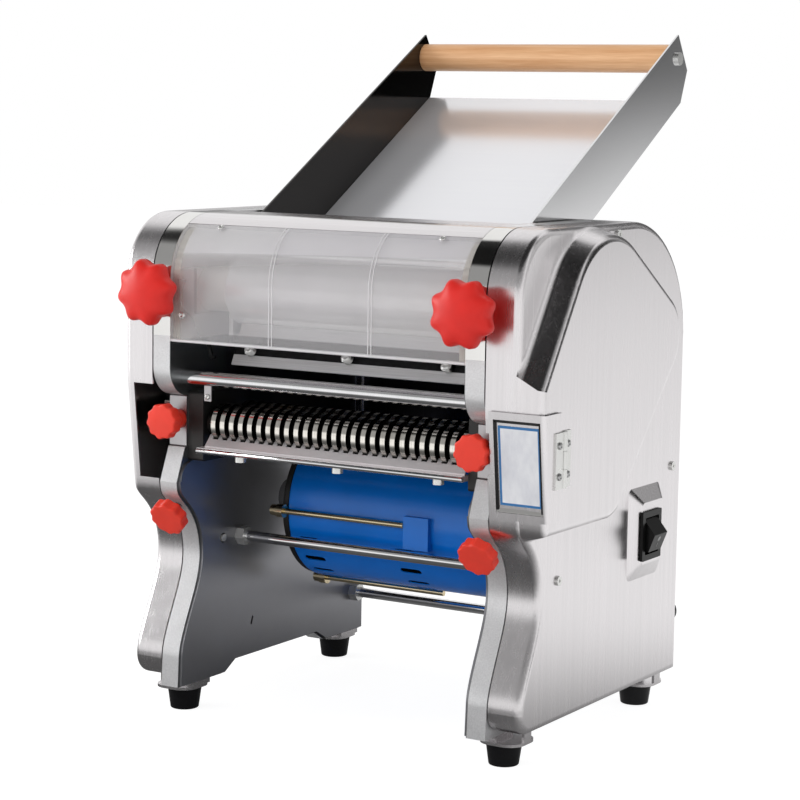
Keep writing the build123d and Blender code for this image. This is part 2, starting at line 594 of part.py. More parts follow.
def make_right_cover():
    outer = hollow_foot(cover_body(0) + bulge_body(0)) + switch_pad(0)
    inner = cover_body(COVER_WALL) + bulge_body(COVER_WALL)
    shell = outer - inner
    shell -= block((DOOR_LEFT_X + 3, BULGE_OUT - 6), FRONT_WALL_Y, (DOOR_Z[0] + 5, DOOR_Z[1] - 5))
    knob_z = (CUTTER_KNOB_Z - CUTTER_KNOB_R - 1, CUTTER_KNOB_Z + CUTTER_KNOB_R + 1)
    shell -= block((COVER_IN - 1, DOOR_LEFT_X + 0.5), FRONT_WALL_Y, knob_z)
    shell -= plate_x(switch_window(2), COVER_IN + 5, COVER_OUT + SWITCH_PAD_HIGH + 1)
    shell -= bar_y(GLAND_AT[0], GLAND_AT[1], REAR_Y - 5, REAR_Y + 1, GLAND_R)
    for at in COVER_SCREWS:
        shell -= bar_x(COVER_OUT - 5, COVER_OUT, at, SCREW_STEM_R)
    write("right_cover", shell)


def make_cord_gland():
    nut = bar_y(GLAND_AT[0], GLAND_AT[1], REAR_Y, REAR_Y + 6, GLAND_R + 3)
    neck = bar_y(GLAND_AT[0], GLAND_AT[1], REAR_Y - 8, REAR_Y + 12, GLAND_R)
    bore = bar_y(GLAND_AT[0], GLAND_AT[1], REAR_Y - 9, REAR_Y + 13, GLAND_BORE_R)
    write("cord_gland", nut + neck - bore)


def make_top_cover():
    """Sheet over the rollers, from the guard over the top and down the rear corner."""
    half = FRAME_IN - CLEAR
    face = cover_view() - cover_view(SHEET)
    turn = (FRONT_Y + FRONT_ROUND, TOP_Z - FRONT_ROUND)
    angle = radians(180 - GUARD_END_ANGLE)
    reach = FRONT_ROUND * 2
    edge = (turn[0] + reach * cos(angle), turn[1] + reach * sin(angle))
    corners = [turn, (REAR_Y + 1, TOP_Z - REAR_ROUND), (REAR_Y + 1, TOP_Z + 1), (edge[0], TOP_Z + 1), edge]
    sheet = plate_x(face & Polygon(*corners, align=None), -half, half)
    hole = block((-FEED_HALF_X, FEED_HALF_X), FEED_Y, (TOP_Z - 20, TOP_Z + 5))
    write("top_cover", sheet - hole)


def make_rear_cover():
    half = FRAME_IN - LINER_THICK - CLEAR
    top_z = TOP_Z - REAR_ROUND - CLEAR
    panel = block((-half, half), (REAR_Y - SHEET, REAR_Y), (REAR_COVER_Z, top_z))
    panel += block((-half, half), (REAR_Y - REAR_FLANGE, REAR_Y), (REAR_COVER_Z, REAR_COVER_Z + SHEET))
    write("rear_cover", panel)


def guard_view(inset, thick):
    """Front and top front corner of the clear guard, from its foot to the top cover."""
    turn = (FRONT_Y + FRONT_ROUND, TOP_Z - FRONT_ROUND)
    outer, inner = FRONT_ROUND - inset, FRONT_ROUND - inset - thick
    angle = radians(GUARD_END_ANGLE - 1)
    tip = [(turn[0] - r * cos(angle), turn[1] + r * sin(angle)) for r in (outer, inner)]
    return outline(
        Line((turn[0] - outer, GUARD_FOOT_Z), (turn[0] - outer, turn[1])),
        RadiusArc((turn[0] - outer, turn[1]), tip[0], outer),
        Line(tip[0], tip[1]),
        RadiusArc(tip[1], (turn[0] - inner, turn[1]), -inner),
        Line((turn[0] - inner, turn[1]), (turn[0] - inner, GUARD_FOOT_Z)),
        Line((turn[0] - inner, GUARD_FOOT_Z), (turn[0] - outer, GUARD_FOOT_Z)),
    )


def make_guard():
    half = FRAME_IN - CLEAR
    write("guard", plate_x(guard_view(0, GUARD_THICK), -half, half))
    end = plate_x(guard_view(GUARD_THICK, 4.0), half - 6, half)
    write("guard_ends", *both_sides(end))


def make_feet():
    corners = [(sx * FOOT_X, sy * FOOT_Y) for sx in (-1, 1) for sy in (-1, 1)]
    foot = Cone(FOOT_R[0], FOOT_R[1], FOOT_HIGH, align=STANDING)
    foot = fillet(foot.edges().sort_by(Axis.Z)[0], 1.2)
    write("feet", *[Pos(x, y, 0) * foot for x, y in corners])
    low, high = FOOT_HIGH, FOOT_HIGH + BRACKET_THICK
    lip_x = COVER_OUT - BRACKET_INSET
    half, pad_half = BRACKET_HALF
    brackets = []
    for y in (-FOOT_Y, FOOT_Y):
        piece = block((FRAME_IN, lip_x), (y - half, y + half), (low, high))
        piece = fillet(piece.edges().filter_by(Axis.Z), BRACKET_ROUND)
        piece += block((FRAME_IN, FRAME_OUT), (y - pad_half, y + pad_half), (high, FRAME_FOOT_Z))
        lip_half = half - BRACKET_ROUND
        lip_z = (high, COVER_FOOT_Z - CLEAR)
        piece += block((lip_x - BRACKET_THICK, lip_x), (y - lip_half, y + lip_half), lip_z)
        brackets += both_sides(piece)
    write("foot_brackets", *brackets)


def make_bars():
    sink = 6.0
    write("front_bar", bar_x(-FRAME_IN - sink, FRAME_IN + sink, BAR_AT, BAR_R))
    reach = FRAME_IN + 8
    rods = [bar_x(-reach, reach, at, TIE_R) for at in (FRONT_TIE_AT, REAR_TIE_AT, TRAY_REST_AT)]
    write("tie_rods", *rods)
    nuts = []
    for at in (FRONT_TIE_AT, REAR_TIE_AT):
        hexagon = Pos(*at) * (RegularPolygon(TIE_NUT_R, 6, rotation=8) - Circle(TIE_R))
        nuts += both_sides(plate_x(hexagon, FRAME_IN - LINER_THICK - 7, FRAME_IN - LINER_THICK))
    write("tie_rod_nuts", *nuts)


# ---- Gears ---------------------------------------------------------------------------
def gear_face(teeth, phase, backlash=0.35):
    """Side view of a spur gear with 20 degree involute flanks, phase in degrees."""
    pitch_r = MODULE * teeth / 2
    base_r = pitch_r * cos(radians(20))
    tip_r = pitch_r + 0.95 * MODULE
    root_r = pitch_r - 1.2 * MODULE
    involute = tan(radians(20)) - radians(20)
    half = (pi / 2 - backlash / MODULE) / teeth + involute
    start_r = max(base_r, root_r)
    flank = []
    for step in range(4):
        r = start_r + (tip_r - start_r) * step / 3
        pressure = acos(min(1.0, base_r / r))
        flank.append((r, half - (tan(pressure) - pressure)))
    if root_r < base_r:
        flank.insert(0, (root_r, flank[0][1]))
    points = []
    for tooth in range(teeth):
        middle = radians(phase) + 2 * pi * tooth / teeth
        for r, a in flank:
            points.append((r * cos(middle - a), r * sin(middle - a)))
        for r, a in reversed(flank):
            points.append((r * cos(middle + a), r * sin(middle + a)))
    return Polygon(*points, align=None)


def mesh_phase(phase, teeth, mate_teeth, start, end):
    """Phase of a gear at end that meshes with a gear of known phase at start, degrees."""
    direction = degrees(atan2(end[1] - start[1], end[0] - start[0]))
    part = ((direction - phase) * teeth / 360) % 1
    return direction + 180 - (0.5 - part) * 360 / mate_teeth


def gear_x(teeth, phase, at, x0, bore, width=GEAR_WIDTH):
    face = Pos(*at) * (gear_face(teeth, phase) - Circle(bore))
    return plate_x(face, x0, x0 + width)


def long_gear_face(phase):
    """Deep narrow teeth that stay in mesh while the front roller moves."""
    root, tip = LONG_TOOTH
    points = []
    for tooth in range(LONG_TEETH):
        middle = phase + 360 * tooth / LONG_TEETH
        for r, half_width in ((root, 1.9), (tip, 0.7)):
            points.append((r, middle - degrees(half_width / r)))
        for r, half_width in ((tip, 0.7), (root, 1.9)):
            points.append((r, middle + degrees(half_width / r)))
    return Polygon(*[(r * cos(radians(a)), r * sin(radians(a))) for r, a in points], align=None)


def belt_loop(growth):
    """Area inside a belt line that runs that far outside both pulleys' grooves."""
    big = Pos(*COUNTERSHAFT_AT) * Circle(DRIVE_PULLEY_R - BELT_THICK + growth)
    small = Pos(*MOTOR_AT) * Circle(MOTOR_PULLEY_R - BELT_THICK + growth)
    return make_hull(big.edges() + small.edges())


def pulley(at, radius, bore):
    rim = 1.0
    width = BELT_WIDTH + 2 * rim
    disc = bar_x(PULLEY_X, PULLEY_X + width, at, radius)
    groove = bar_x(PULLEY_X + rim, PULLEY_X + width - rim, at, radius + 1)
    groove -= bar_x(PULLEY_X + rim, PULLEY_X + width - rim, at, radius - BELT_THICK)
    return disc - groove - bar_x(PULLEY_X, PULLEY_X + width, at, bore)


def make_drive_train():
    roller_at, cutter_at = (REAR_ROLL_Y, ROLL_Z), (REAR_CUTTER_Y, CUTTER_Z)
    big = gear_x(ROLLER_TEETH, 0, roller_at, INNER_GEAR_X, DRIVE_SHAFT_R)
    sleeve = bar_x(INNER_GEAR_X + GEAR_WIDTH, OUTER_GEAR_X, roller_at, DRIVE_SHAFT_R + 1.4)
    sleeve -= bar_x(INNER_GEAR_X, OUTER_GEAR_X, roller_at, DRIVE_SHAFT_R)
    lifter = gear_x(LIFTER_TEETH, 0, roller_at, OUTER_GEAR_X, DRIVE_SHAFT_R)
    write("roller_drive_gears", big + sleeve + lifter)

    pinion_phase = mesh_phase(0, ROLLER_TEETH, PINION_TEETH, roller_at, COUNTERSHAFT_AT)
    pinion_face = Pos(*COUNTERSHAFT_AT) * gear_face(PINION_TEETH, pinion_phase)
    pinion = plate_x(pinion_face, INNER_GEAR_X, INNER_GEAR_X + GEAR_WIDTH)
    shaft = bar_x(FRAME_IN, INNER_GEAR_X, COUNTERSHAFT_AT, COUNTERSHAFT_R)
    stub = bar_x(INNER_GEAR_X + GEAR_WIDTH, PULLEY_X + BELT_WIDTH + 2, COUNTERSHAFT_AT, COUNTERSHAFT_R)
    write("countershaft", pinion + shaft + stub)
    write("drive_pulley", pulley(COUNTERSHAFT_AT, DRIVE_PULLEY_R, COUNTERSHAFT_R))
    write("motor_pulley", pulley(MOTOR_AT, MOTOR_PULLEY_R, MOTOR_SHAFT_R))

    belt = belt_loop(BELT_THICK) - belt_loop(CLEAR)
    write("drive_belt", plate_x(belt, PULLEY_X + 1 + CLEAR, PULLEY_X + 1 + BELT_WIDTH - CLEAR))

    idler_phase = mesh_phase(0, LIFTER_TEETH, IDLER_TEETH, roller_at, IDLER_AT)
    write("idler_gear", gear_x(IDLER_TEETH, idler_phase, IDLER_AT, OUTER_GEAR_X, CUTTER_SHAFT_R + FIT))
    gear_end, pin_end = OUTER_GEAR_X + GEAR_WIDTH, OUTER_GEAR_X + GEAR_WIDTH + 3
    head = bar_x(gear_end + CLEAR, pin_end, IDLER_AT, CUTTER_SHAFT_R + 4)
    spacer = bar_x(FRAME_OUT, OUTER_GEAR_X - CLEAR, IDLER_AT, CUTTER_SHAFT_R + 1.5)
    write("idler_pin", bar_x(FRAME_IN, pin_end, IDLER_AT, CUTTER_SHAFT_R) + head + spacer)

    cutter_phase = mesh_phase(idler_phase, IDLER_TEETH, CUTTER_TEETH, IDLER_AT, cutter_at)
    write("cutter_gear", gear_x(CUTTER_TEETH, cutter_phase, cutter_at, OUTER_GEAR_X, CUTTER_SHAFT_R))

    left_x = -INNER_GEAR_X - GEAR_WIDTH
    front_roll = (FRONT_ROLL_Y, ROLL_Z)
    for name, at, phase in (("rear", roller_at, 0), ("front", front_roll, 180 / LONG_TEETH)):
        face = Pos(*at) * (long_gear_face(phase) - Circle(JOURNAL_R))
        write(f"long_gear_{name}", plate_x(face, left_x, left_x + GEAR_WIDTH))


# ---- Dough rollers ---------------------------------------------------------------------
def make_rollers():
    left_end = -INNER_GEAR_X - GEAR_WIDTH - 2
    rear_at, front_at = (REAR_ROLL_Y, ROLL_Z), (FRONT_ROLL_Y, ROLL_Z)
    rear = bar_x(ROLL_LEFT_X, ROLL_RIGHT_X, rear_at, ROLL_R)
    rear += bar_x(left_end, FRAME_OUT + 1, rear_at, JOURNAL_R)
    rear += bar_x(FRAME_OUT + 1, OUTER_GEAR_X + GEAR_WIDTH + 2, rear_at, DRIVE_SHAFT_R)
    front = bar_x(ROLL_LEFT_X, ROLL_RIGHT_X, front_at, ROLL_R)
    front += bar_x(left_end, FRAME_OUT - 1, front_at, JOURNAL_R)
    write("rear_roller", rear)
    write("front_roller", front)

    ring = Pos(*rear_at) * (Circle(JOURNAL_R + FIT + BUSH_WALL) - Circle(JOURNAL_R + FIT))
    right_bush = plate_x(ring, ROLL_RIGHT_X + CLEAR, FRAME_OUT)
    write("bearing_bushes", right_bush, plate_x(ring, -FRAME_OUT, ROLL_LEFT_X - CLEAR))

    blocks = []
    block_y = (FRONT_ROLL_Y - BLOCK_HALF, FRONT_ROLL_Y + BLOCK_HALF)
    square = cut_window(block_y, (ROLL_Z - BLOCK_HALF, ROLL_Z + BLOCK_HALF), 2)
    for side, inner_x in ((1, ROLL_RIGHT_X + CLEAR), (-1, CLEAR - ROLL_LEFT_X)):
        piece = plate_x(square, FRAME_IN, FRAME_OUT)
        piece += plate_x(Pos(*front_at) * Circle(BLOCK_HALF - 1), inner_x, FRAME_IN)
        piece -= bar_x(inner_x, FRAME_OUT, front_at, JOURNAL_R + FIT)
        piece -= bar_y(KNOB_X, BIG_KNOB_Z, block_y[0], FRONT_ROLL_Y - JOURNAL_R - 1.0, SPINDLE_R + FIT)
        blocks.append(piece if side > 0 else mirror(piece, Plane.YZ))
    write("bearing_blocks", *blocks)


def strip_x(x0, x1, low, high, thick):
    """Flat strip between two lines along X, low and high = (Y, Z)."""
    length = hypot(high[0] - low[0], high[1] - low[1])
    normal = (-(high[1] - low[1]) / length * thick, (high[0] - low[0]) / length * thick)
    high_out = (high[0] + normal[0], high[1] + normal[1])
    low_out = (low[0] + normal[0], low[1] + normal[1])
    return plate_x(Polygon(low, high, high_out, low_out, align=None), x0, x1)


def make_scrapers():
    """Strips that peel the dough off the rollers; the front one rides with its roller."""
    reach = ROLL_R + CLEAR
    touch = radians(SCRAPER_TOUCH)
    tip = (FRONT_ROLL_Y + reach * cos(touch), ROLL_Z + reach * sin(touch))
    low = (tip[0] - SCRAPER_RUN, tip[1] - SCRAPER_RISE)
    front = strip_x(ROLL_LEFT_X + SCRAPER_INSET[0], ROLL_RIGHT_X - SCRAPER_INSET[1], low, tip, SCRAPER_THICK)
    length = hypot(SCRAPER_RUN, SCRAPER_RISE)
    out = (-SCRAPER_RISE / length, SCRAPER_RUN / length)
    rod_at = (tip[0] - SCRAPER_RUN * 0.3 - out[0] * 2.5, tip[1] - SCRAPER_RISE * 0.3 - out[1] * 2.5)
    left_x, right_x = ROLL_LEFT_X - SCRAPER_ARM, ROLL_RIGHT_X + SCRAPER_ARM
    front += bar_x(left_x, right_x, rod_at, SCRAPER_ROD_R)
    arm = cut_window((rod_at[0] - 5, rod_at[0] + 5), (rod_at[1] - 5, ROLL_Z - 6), 2)
    front += plate_x(arm, left_x, ROLL_LEFT_X - CLEAR) + plate_x(arm, ROLL_RIGHT_X + CLEAR, right_x)
    front -= bar_x(-FRAME_IN, FRAME_IN, (FRONT_ROLL_Y, ROLL_Z), BLOCK_HALF - 1)
    screw_r, screw_high = SCRAPER_SCREW
    seat = (low[0] + SCRAPER_RUN * 0.36, low[1] + SCRAPER_RISE * 0.36)
    for x in SCREW_ROW_X:
        plane = Plane(origin=(x, *seat), x_dir=(1, 0, 0), z_dir=(0, *out))
        front += plane * Cylinder(screw_r, SCRAPER_THICK + screw_high, align=STANDING)
    write("scraper_front", front)

    rear_tip = (REAR_ROLL_Y - reach * cos(touch), tip[1])
    rear_low = (rear_tip[0] + SCRAPER_RUN, rear_tip[1] - SCRAPER_RISE)
    rear = strip_x(-FRAME_IN, FRAME_IN, rear_tip, rear_low, SCRAPER_THICK)
    write("scraper_rear", rear)


# ---- Noodle cutters ----------------------------------------------------------------------
def ring_x(index):
    return RING_FIRST_X + RING_PITCH * index


def cutter_roller(at, shift, left_end, right_end, pinion_phase):
    """Shaft with its pinion, grooved core and a row of rings."""
    first, last = ring_x(0), ring_x(RING_COUNT - 1)
    roller = bar_x(left_end, right_end, at, CUTTER_SHAFT_R)
    roller += bar_x(first - RING_PITCH, last + RING_WIDTH / 2 + 0.6, at, RING_CORE_R)
    pinion = Pos(*at) * gear_face(CUTTER_PAIR_TEETH, pinion_phase)
    roller += plate_x(pinion, left_end + 1, left_end + 1 + GEAR_WIDTH)
    count = RING_COUNT if shift == 0 else RING_COUNT - 1
    for index in range(count):
        middle = ring_x(index) + shift
        roller += bar_x(middle - RING_WIDTH / 2, middle + RING_WIDTH / 2, at, RING_R)
    return roller


def make_cutters():
    front_at, rear_at = (CUTTER_Y, CUTTER_Z), (REAR_CUTTER_Y, CUTTER_Z)
    left_end = -INNER_GEAR_X - GEAR_WIDTH - 1
    phase = mesh_phase(0, CUTTER_PAIR_TEETH, CUTTER_PAIR_TEETH, rear_at, front_at)
    write("cutter_roller_front", cutter_roller(front_at, 0, left_end, FRAME_OUT - 1, phase))
    rear_end = OUTER_GEAR_X + GEAR_WIDTH
    write("cutter_roller_rear", cutter_roller(rear_at, RING_PITCH / 2, left_end, rear_end, 0))

    low, high = POCKET_Z
    rear_y = POCKET_REAR_Y - CLEAR
    housing = cut_window((CUTTER_Y - CUTTER_BLOCK_REACH, rear_y), (low + CLEAR, high - CLEAR), 1)
    wall_z = (CUTTER_PLATE_FOOT_Z + CLEAR, high + CUTTER_PLATE_RISE)
    wall = cut_window((CUTTER_Y - CUTTER_PLATE_REACH, rear_y), wall_z, 2)
    for at in (front_at, rear_at):
        housing -= Pos(*at) * Circle(CUTTER_SHAFT_R + FIT)
        wall -= Pos(*at) * Circle(CUTTER_SHAFT_R + 1)
    piece = plate_x(housing, FRAME_IN, FRAME_OUT)
    stud_y = (CUTTER_Y - CUTTER_BLOCK_REACH - 1, CUTTER_STUD_TIP + CLEAR)
    piece -= bar_y(CUTTER_KNOB_X, CUTTER_KNOB_Z, *stud_y, STUD_R)
    write("cutter_blocks", *both_sides(piece))

    left_x, right_x = CUTTER_PLATE[0] - FRAME_IN, FRAME_IN - CUTTER_PLATE[1]
    write("cutter_end_plates", plate_x(wall, -FRAME_IN, left_x), plate_x(wall, right_x, FRAME_IN))

    nip_y = (CUTTER_Y + REAR_CUTTER_Y) / 2
    half, thick = COMB_RAIL[0] / 2, COMB_RAIL[1]
    head_r, stem_r = COMB_BOLT
    combs, bolts = [], []
    for side in (-1, 1):
        rail_y = nip_y + side * COMB_RAIL_OUT
        rail = block((left_x, right_x), (rail_y - half, rail_y + half), (COMB_Z - thick, COMB_Z))
        tip = (nip_y + side * COMB_TIP[0], COMB_Z + COMB_TIP[1])
        comb = comb_plate(side, (rail_y + side * 1, COMB_Z), tip)
        for x in SCREW_ROW_X:
            rail -= bar_z(x, rail_y, COMB_Z - thick, COMB_Z, stem_r)
            bolt = bar_z(x, rail_y, COMB_Z - 2 * thick, COMB_Z - thick, head_r)
            bolts.append(bolt + bar_z(x, rail_y, COMB_Z - thick - 1, COMB_Z, stem_r))
        combs.append(rail + comb)
    write("cutter_combs", *combs)
    return bolts


def comb_plate(side, low, tip):
    """Sheet whose fingers reach into the grooves between the rings."""
    face = Polygon(low, tip, (tip[0], tip[1] + COMB_SHEET), (low[0], low[1] + COMB_SHEET), align=None)
    shift = 0 if side < 0 else RING_PITCH / 2
    count = RING_COUNT if side < 0 else RING_COUNT - 1
    sheet = plate_x(face, ring_x(0) - 6, ring_x(RING_COUNT - 1) + 3)
    clear = RING_R + 1.0
    axis_y = CUTTER_Y if side < 0 else REAR_CUTTER_Y
    for index in range(count):
        middle = ring_x(index) + shift
        half = RING_WIDTH / 2 + 0.4
        sheet -= bar_x(middle - half, middle + half, (axis_y, CUTTER_Z), clear)
    return sheet


# ---- Motor ---------------------------------------------------------------------------------
def vent_slot(x, angle):
    """Cutter for one slot in the motor's barrel, at that angle above the horizontal."""
    out = (0, -cos(radians(angle)), sin(radians(angle)))
    plane = Plane(origin=(x, *MOTOR_AT), x_dir=(1, 0, 0), z_dir=out)
    deep = 4 * MOTOR_WALL
    return extrude(plane.offset(MOTOR_R - deep) * SlotOverall(*VENT_SLOT), 2 * deep)


def end_bell(x, side):
    """Motor's end bell from x outwards, side is -1 to the left and 1 to the right."""
    x0, x1 = sorted((x, x + side * MOTOR_BELL))
    bell = bar_x(x0, x1, MOTOR_AT, MOTOR_R - 1)
    outer = bell.edges().filter_by(GeomType.CIRCLE).sort_by(Axis.X)[-1 if side > 0 else 0]
    return fillet(outer, MOTOR_BELL / 2) - bar_x(x0, x1, MOTOR_AT, MOTOR_SHAFT_R + FIT)


def make_motor():
    x0, x1 = MOTOR_X
    body = bar_x(x0, x1, MOTOR_AT, MOTOR_R)
    body = fillet(body.edges().filter_by(GeomType.CIRCLE), 2.5)
    boss_x = x0 + MOTOR_BOSS[0]
    boss_y = (MOTOR_AT[0] - MOTOR_R - 4, MOTOR_AT[0])
    body += block((boss_x, boss_x + MOTOR_BOSS[1]), boss_y, (MOTOR_AT[1] - 17, MOTOR_AT[1] + 7))
    body -= bar_x(x0, x1, MOTOR_AT, MOTOR_R - MOTOR_WALL)
    for angle in VENT_ANGLES:
        for inset in VENT_INSET:
            body -= vent_slot(x0 + inset, angle)
    write("motor_body", body)
    write("motor_end_bells", end_bell(x0, -1), end_bell(x1, 1))

    bell_x = x0 - MOTOR_BELL
    shaft = bar_x(bell_x - 2, PULLEY_X + BELT_WIDTH + 4, MOTOR_AT, MOTOR_SHAFT_R)
    rotor = bar_x(x0 + ROTOR_INSET, x1 - ROTOR_INSET, MOTOR_AT, MOTOR_R - MOTOR_WALL - ROTOR_GAP)
    write("motor_rotor", shaft + rotor)

    bolts = []
    for angle in (0, 90, 180, 270):
        reach = MOTOR_R + TIE_BOLT_OUT
        at = (MOTOR_AT[0] - reach * cos(radians(angle)), MOTOR_AT[1] + reach * sin(radians(angle)))
        bolt = bar_x(bell_x - 2, boss_x, at, TIE_BOLT_R)
        lug = bar_x(bell_x, x0, at, 5.0) - bar_x(bell_x, x0, MOTOR_AT, MOTOR_R - 1)
        nut = bar_x(bell_x - 5, bell_x, at, 4.2)
        bolts.append(bolt + lug + nut)
    write("motor_bolts", *bolts)

    crescent = Pos(*MOTOR_AT) * (Circle(CRADLE_R) - Circle(MOTOR_R + CLEAR))
    side_y = (MOTOR_AT[0] - CRADLE_R, MOTOR_AT[0] + CRADLE_R)
    crescent &= cut_window(side_y, (MOTOR_AT[1] - CRADLE_R, MOTOR_AT[1] - CRADLE_DROP))
    crescent -= Pos(*FRONT_TIE_AT) * Circle(TIE_NUT_R + CLEAR)
    wall_x = FRAME_IN - LINER_THICK
    write("motor_cradle", plate_x(crescent, wall_x - CRADLE_WIDTH, wall_x))


# ---- Knobs -----------------------------------------------------------------------------------
def lobed_face(radius, deep, lobes=8):
    points = []
    for step in range(lobes * 4):
        angle = 2 * pi * step / (lobes * 4)
        r = radius - deep * (1 - cos(lobes * angle)) / 2
        points.append((r * cos(angle), r * sin(angle)))
    return make_face(Spline(*points, periodic=True))


def knob_head(radius, lobe, thick, dome):
    """Star knob along +Z from 0 to thick, face outwards."""
    head = extrude(lobed_face(radius, lobe), thick)
    if dome:
        ball_r = (radius ** 2 + dome ** 2) / (2 * dome)
        head &= Pos(0, 0, thick - ball_r) * Sphere(ball_r)
    else:
        head = fillet(head.faces().sort_by(Axis.Z)[-1].edges(), 1.0)
    return head


def facing_front(x, y, z):
    """Plane whose Z points to the front, -Y."""
    return Plane(origin=(x, y, z), x_dir=(1, 0, 0), z_dir=(0, -1, 0))


def make_knobs():
    big_neck_r, small_neck_r = KNOB_NECK_R
    back_y = BIG_KNOB_FACE_Y + BIG_KNOB_DEEP
    bore_y = back_y - BIG_KNOB_DEEP / 2
    head = knob_head(BIG_KNOB_R, BIG_KNOB_LOBE, BIG_KNOB_DEEP, BIG_KNOB_DOME)
    big = facing_front(KNOB_X, back_y, BIG_KNOB_Z) * head
    big += bar_y(KNOB_X, BIG_KNOB_Z, back_y, FRONT_Y - CLEAR, big_neck_r)
    big -= bar_y(KNOB_X, BIG_KNOB_Z, bore_y, FRONT_Y, SPINDLE_R)
    spindle = bar_y(KNOB_X, BIG_KNOB_Z, bore_y, FRONT_ROLL_Y - BLOCK_HALF + SPINDLE_GRIP, SPINDLE_R)

    small_back = CUTTER_KNOB_FACE_Y + SMALL_KNOB_DEEP
    neck_end = CUTTER_Y - CUTTER_BLOCK_REACH - CLEAR
    head = knob_head(CUTTER_KNOB_R, SMALL_KNOB_LOBE, SMALL_KNOB_DEEP, 0)
    small = facing_front(CUTTER_KNOB_X, small_back, CUTTER_KNOB_Z) * head
    small += bar_y(CUTTER_KNOB_X, CUTTER_KNOB_Z, small_back, neck_end, small_neck_r)
    small += bar_y(CUTTER_KNOB_X, CUTTER_KNOB_Z, small_back, CUTTER_STUD_TIP, STUD_R - FIT)

    out_y, out_z = leg_direction()
    back = LEG_KNOB_FACE - SMALL_KNOB_DEEP
    root = (KNOB_X, LEG_KNOB_AT[0] + back * out_y, LEG_KNOB_AT[1] + back * out_z)
    plane = Plane(origin=root, x_dir=(1, 0, 0), z_dir=(0, out_y, out_z))
    leg = plane * knob_head(LEG_KNOB_R, SMALL_KNOB_LOBE, SMALL_KNOB_DEEP, 0)
    leg += along_leg_axis(LEG_KNOB_NECK, back, small_neck_r) + leg_stud(LEG_KNOB_STUD, STUD_R)

    pieces = {"thickness_knob": big, "thickness_spindle": spindle, "cutter_knob": small, "lower_knob": leg}
    for name, piece in pieces.items():
        right, left = both_sides(piece)
        write(f"{name}_right", right)
        write(f"{name}_left", left)


# ---- Door and switch ------------------------------------------------------------------------------
def front_band(out0, out1):
    """Side view of a layer in front of the cover, between two distances from it."""
    slope = (SHOULDER[0] - FRONT_Y) / (DOOR_Z[1] - SHOULDER[1])
    low_y = FRONT_Y + slope * (DOOR_Z[1] - DOOR_Z[0])
    outer = [(FRONT_Y - out1, DOOR_Z[1]), (low_y - out1, DOOR_Z[0])]
    inner = [(low_y - out0, DOOR_Z[0]), (FRONT_Y - out0, DOOR_Z[1])]
    return Polygon(*outer, *inner, align=None)


def make_door():
    """Sheet over the opening in the front of the right cover, bent round its corner."""
    outer_x = BULGE_OUT + CLEAR + DOOR_THICK
    face_out = CLEAR + DOOR_THICK
    shape = plate_x(front_band(-40, face_out), DOOR_LEFT_X, outer_x)
    front = shape.faces().sort_by(Axis.Y)[0]
    corner = front.edges().sort_by(Axis.X)[-1]
    shape = fillet(corner, 3)
    shape -= plate_x(front_band(-41, CLEAR), DOOR_LEFT_X - 1, BULGE_OUT + CLEAR)
    shape -= block((DOOR_LEFT_X - 1, outer_x + 1), (DOOR_RETURN_Y, 0), (0, TOP_Z))
    panel_x = (DOOR_LEFT_X + DOOR_RIM[0], BULGE_OUT - 1)
    panel_z = (DOOR_Z[0] + DOOR_RIM[1], DOOR_Z[1] - DOOR_RIM[1])
    across_y = (FRONT_Y - DOOR_RETURN, FRONT_Y + DOOR_RETURN)
    panel_out = face_out - DOOR_PANEL_SINK
    sunk = plate_x(front_band(panel_out, face_out + 5), *panel_x)
    shape -= sunk & block(panel_x, across_y, panel_z)
    write("service_door", shape)
    left, right, foot, top = LABEL_INSET
    label = plate_x(front_band(panel_out, panel_out + LABEL_THICK), panel_x[0] + left, panel_x[1] - right)
    write("door_label", label & block(panel_x, across_y, (panel_z[0] + foot, panel_z[1] - top)))


def hinge_leaf(side):
    """Leaf with its knuckles; side is -1 for the door's leaf and 1 for the cover's."""
    knuckle_z = HINGE_HALF_Z / 3
    x, y = HINGE_AT
    spans = [(-knuckle_z + CLEAR, knuckle_z - CLEAR)]
    if side < 0:
        spans = [(-HINGE_HALF_Z, -knuckle_z), (knuckle_z, HINGE_HALF_Z)]
    base_x = BULGE_OUT if side > 0 else BULGE_OUT + CLEAR + DOOR_THICK
    leaf_x = (base_x, base_x + HINGE_LEAF)
    full_z = (HINGE_Z - HINGE_HALF_Z, HINGE_Z + HINGE_HALF_Z)
    leaf = block(leaf_x, sorted((y + side * (HINGE_R + HINGE_FREE), y + side * HINGE_REACH)), full_z)
    for low, high in spans:
        z_pair = (HINGE_Z + low, HINGE_Z + high)
        leaf += block(leaf_x, sorted((y, y + side * HINGE_REACH / 2)), z_pair)
        leaf += bar_z(x, y, *z_pair, HINGE_R)
    if side < 0:
        leaf -= bar_z(x, y, *full_z, HINGE_PIN_R + FIT)
        leaf -= bar_z(x, y, HINGE_Z - knuckle_z, HINGE_Z + knuckle_z, HINGE_R + CLEAR)
    else:
        leaf += bar_z(x, y, *full_z, HINGE_PIN_R)
    for z in (HINGE_Z - 2 * knuckle_z + RIVET_R, HINGE_Z + 2 * knuckle_z - RIVET_R):
        leaf += bar_x(leaf_x[1], leaf_x[1] + 0.8, (y + side * 8, z), RIVET_R)
    return leaf


def make_hinge():
    write("hinge_leaf_door", hinge_leaf(-1))
    write("hinge_leaf_cover", hinge_leaf(1))


def switch_window(shrink):
    half = (SWITCH_SIZE[0] / 2 - shrink, SWITCH_SIZE[1] / 2 - shrink)
    y, z = SWITCH_AT
    return cut_window((y - half[0], y + half[0]), (z - half[1], z + half[1]), 1)


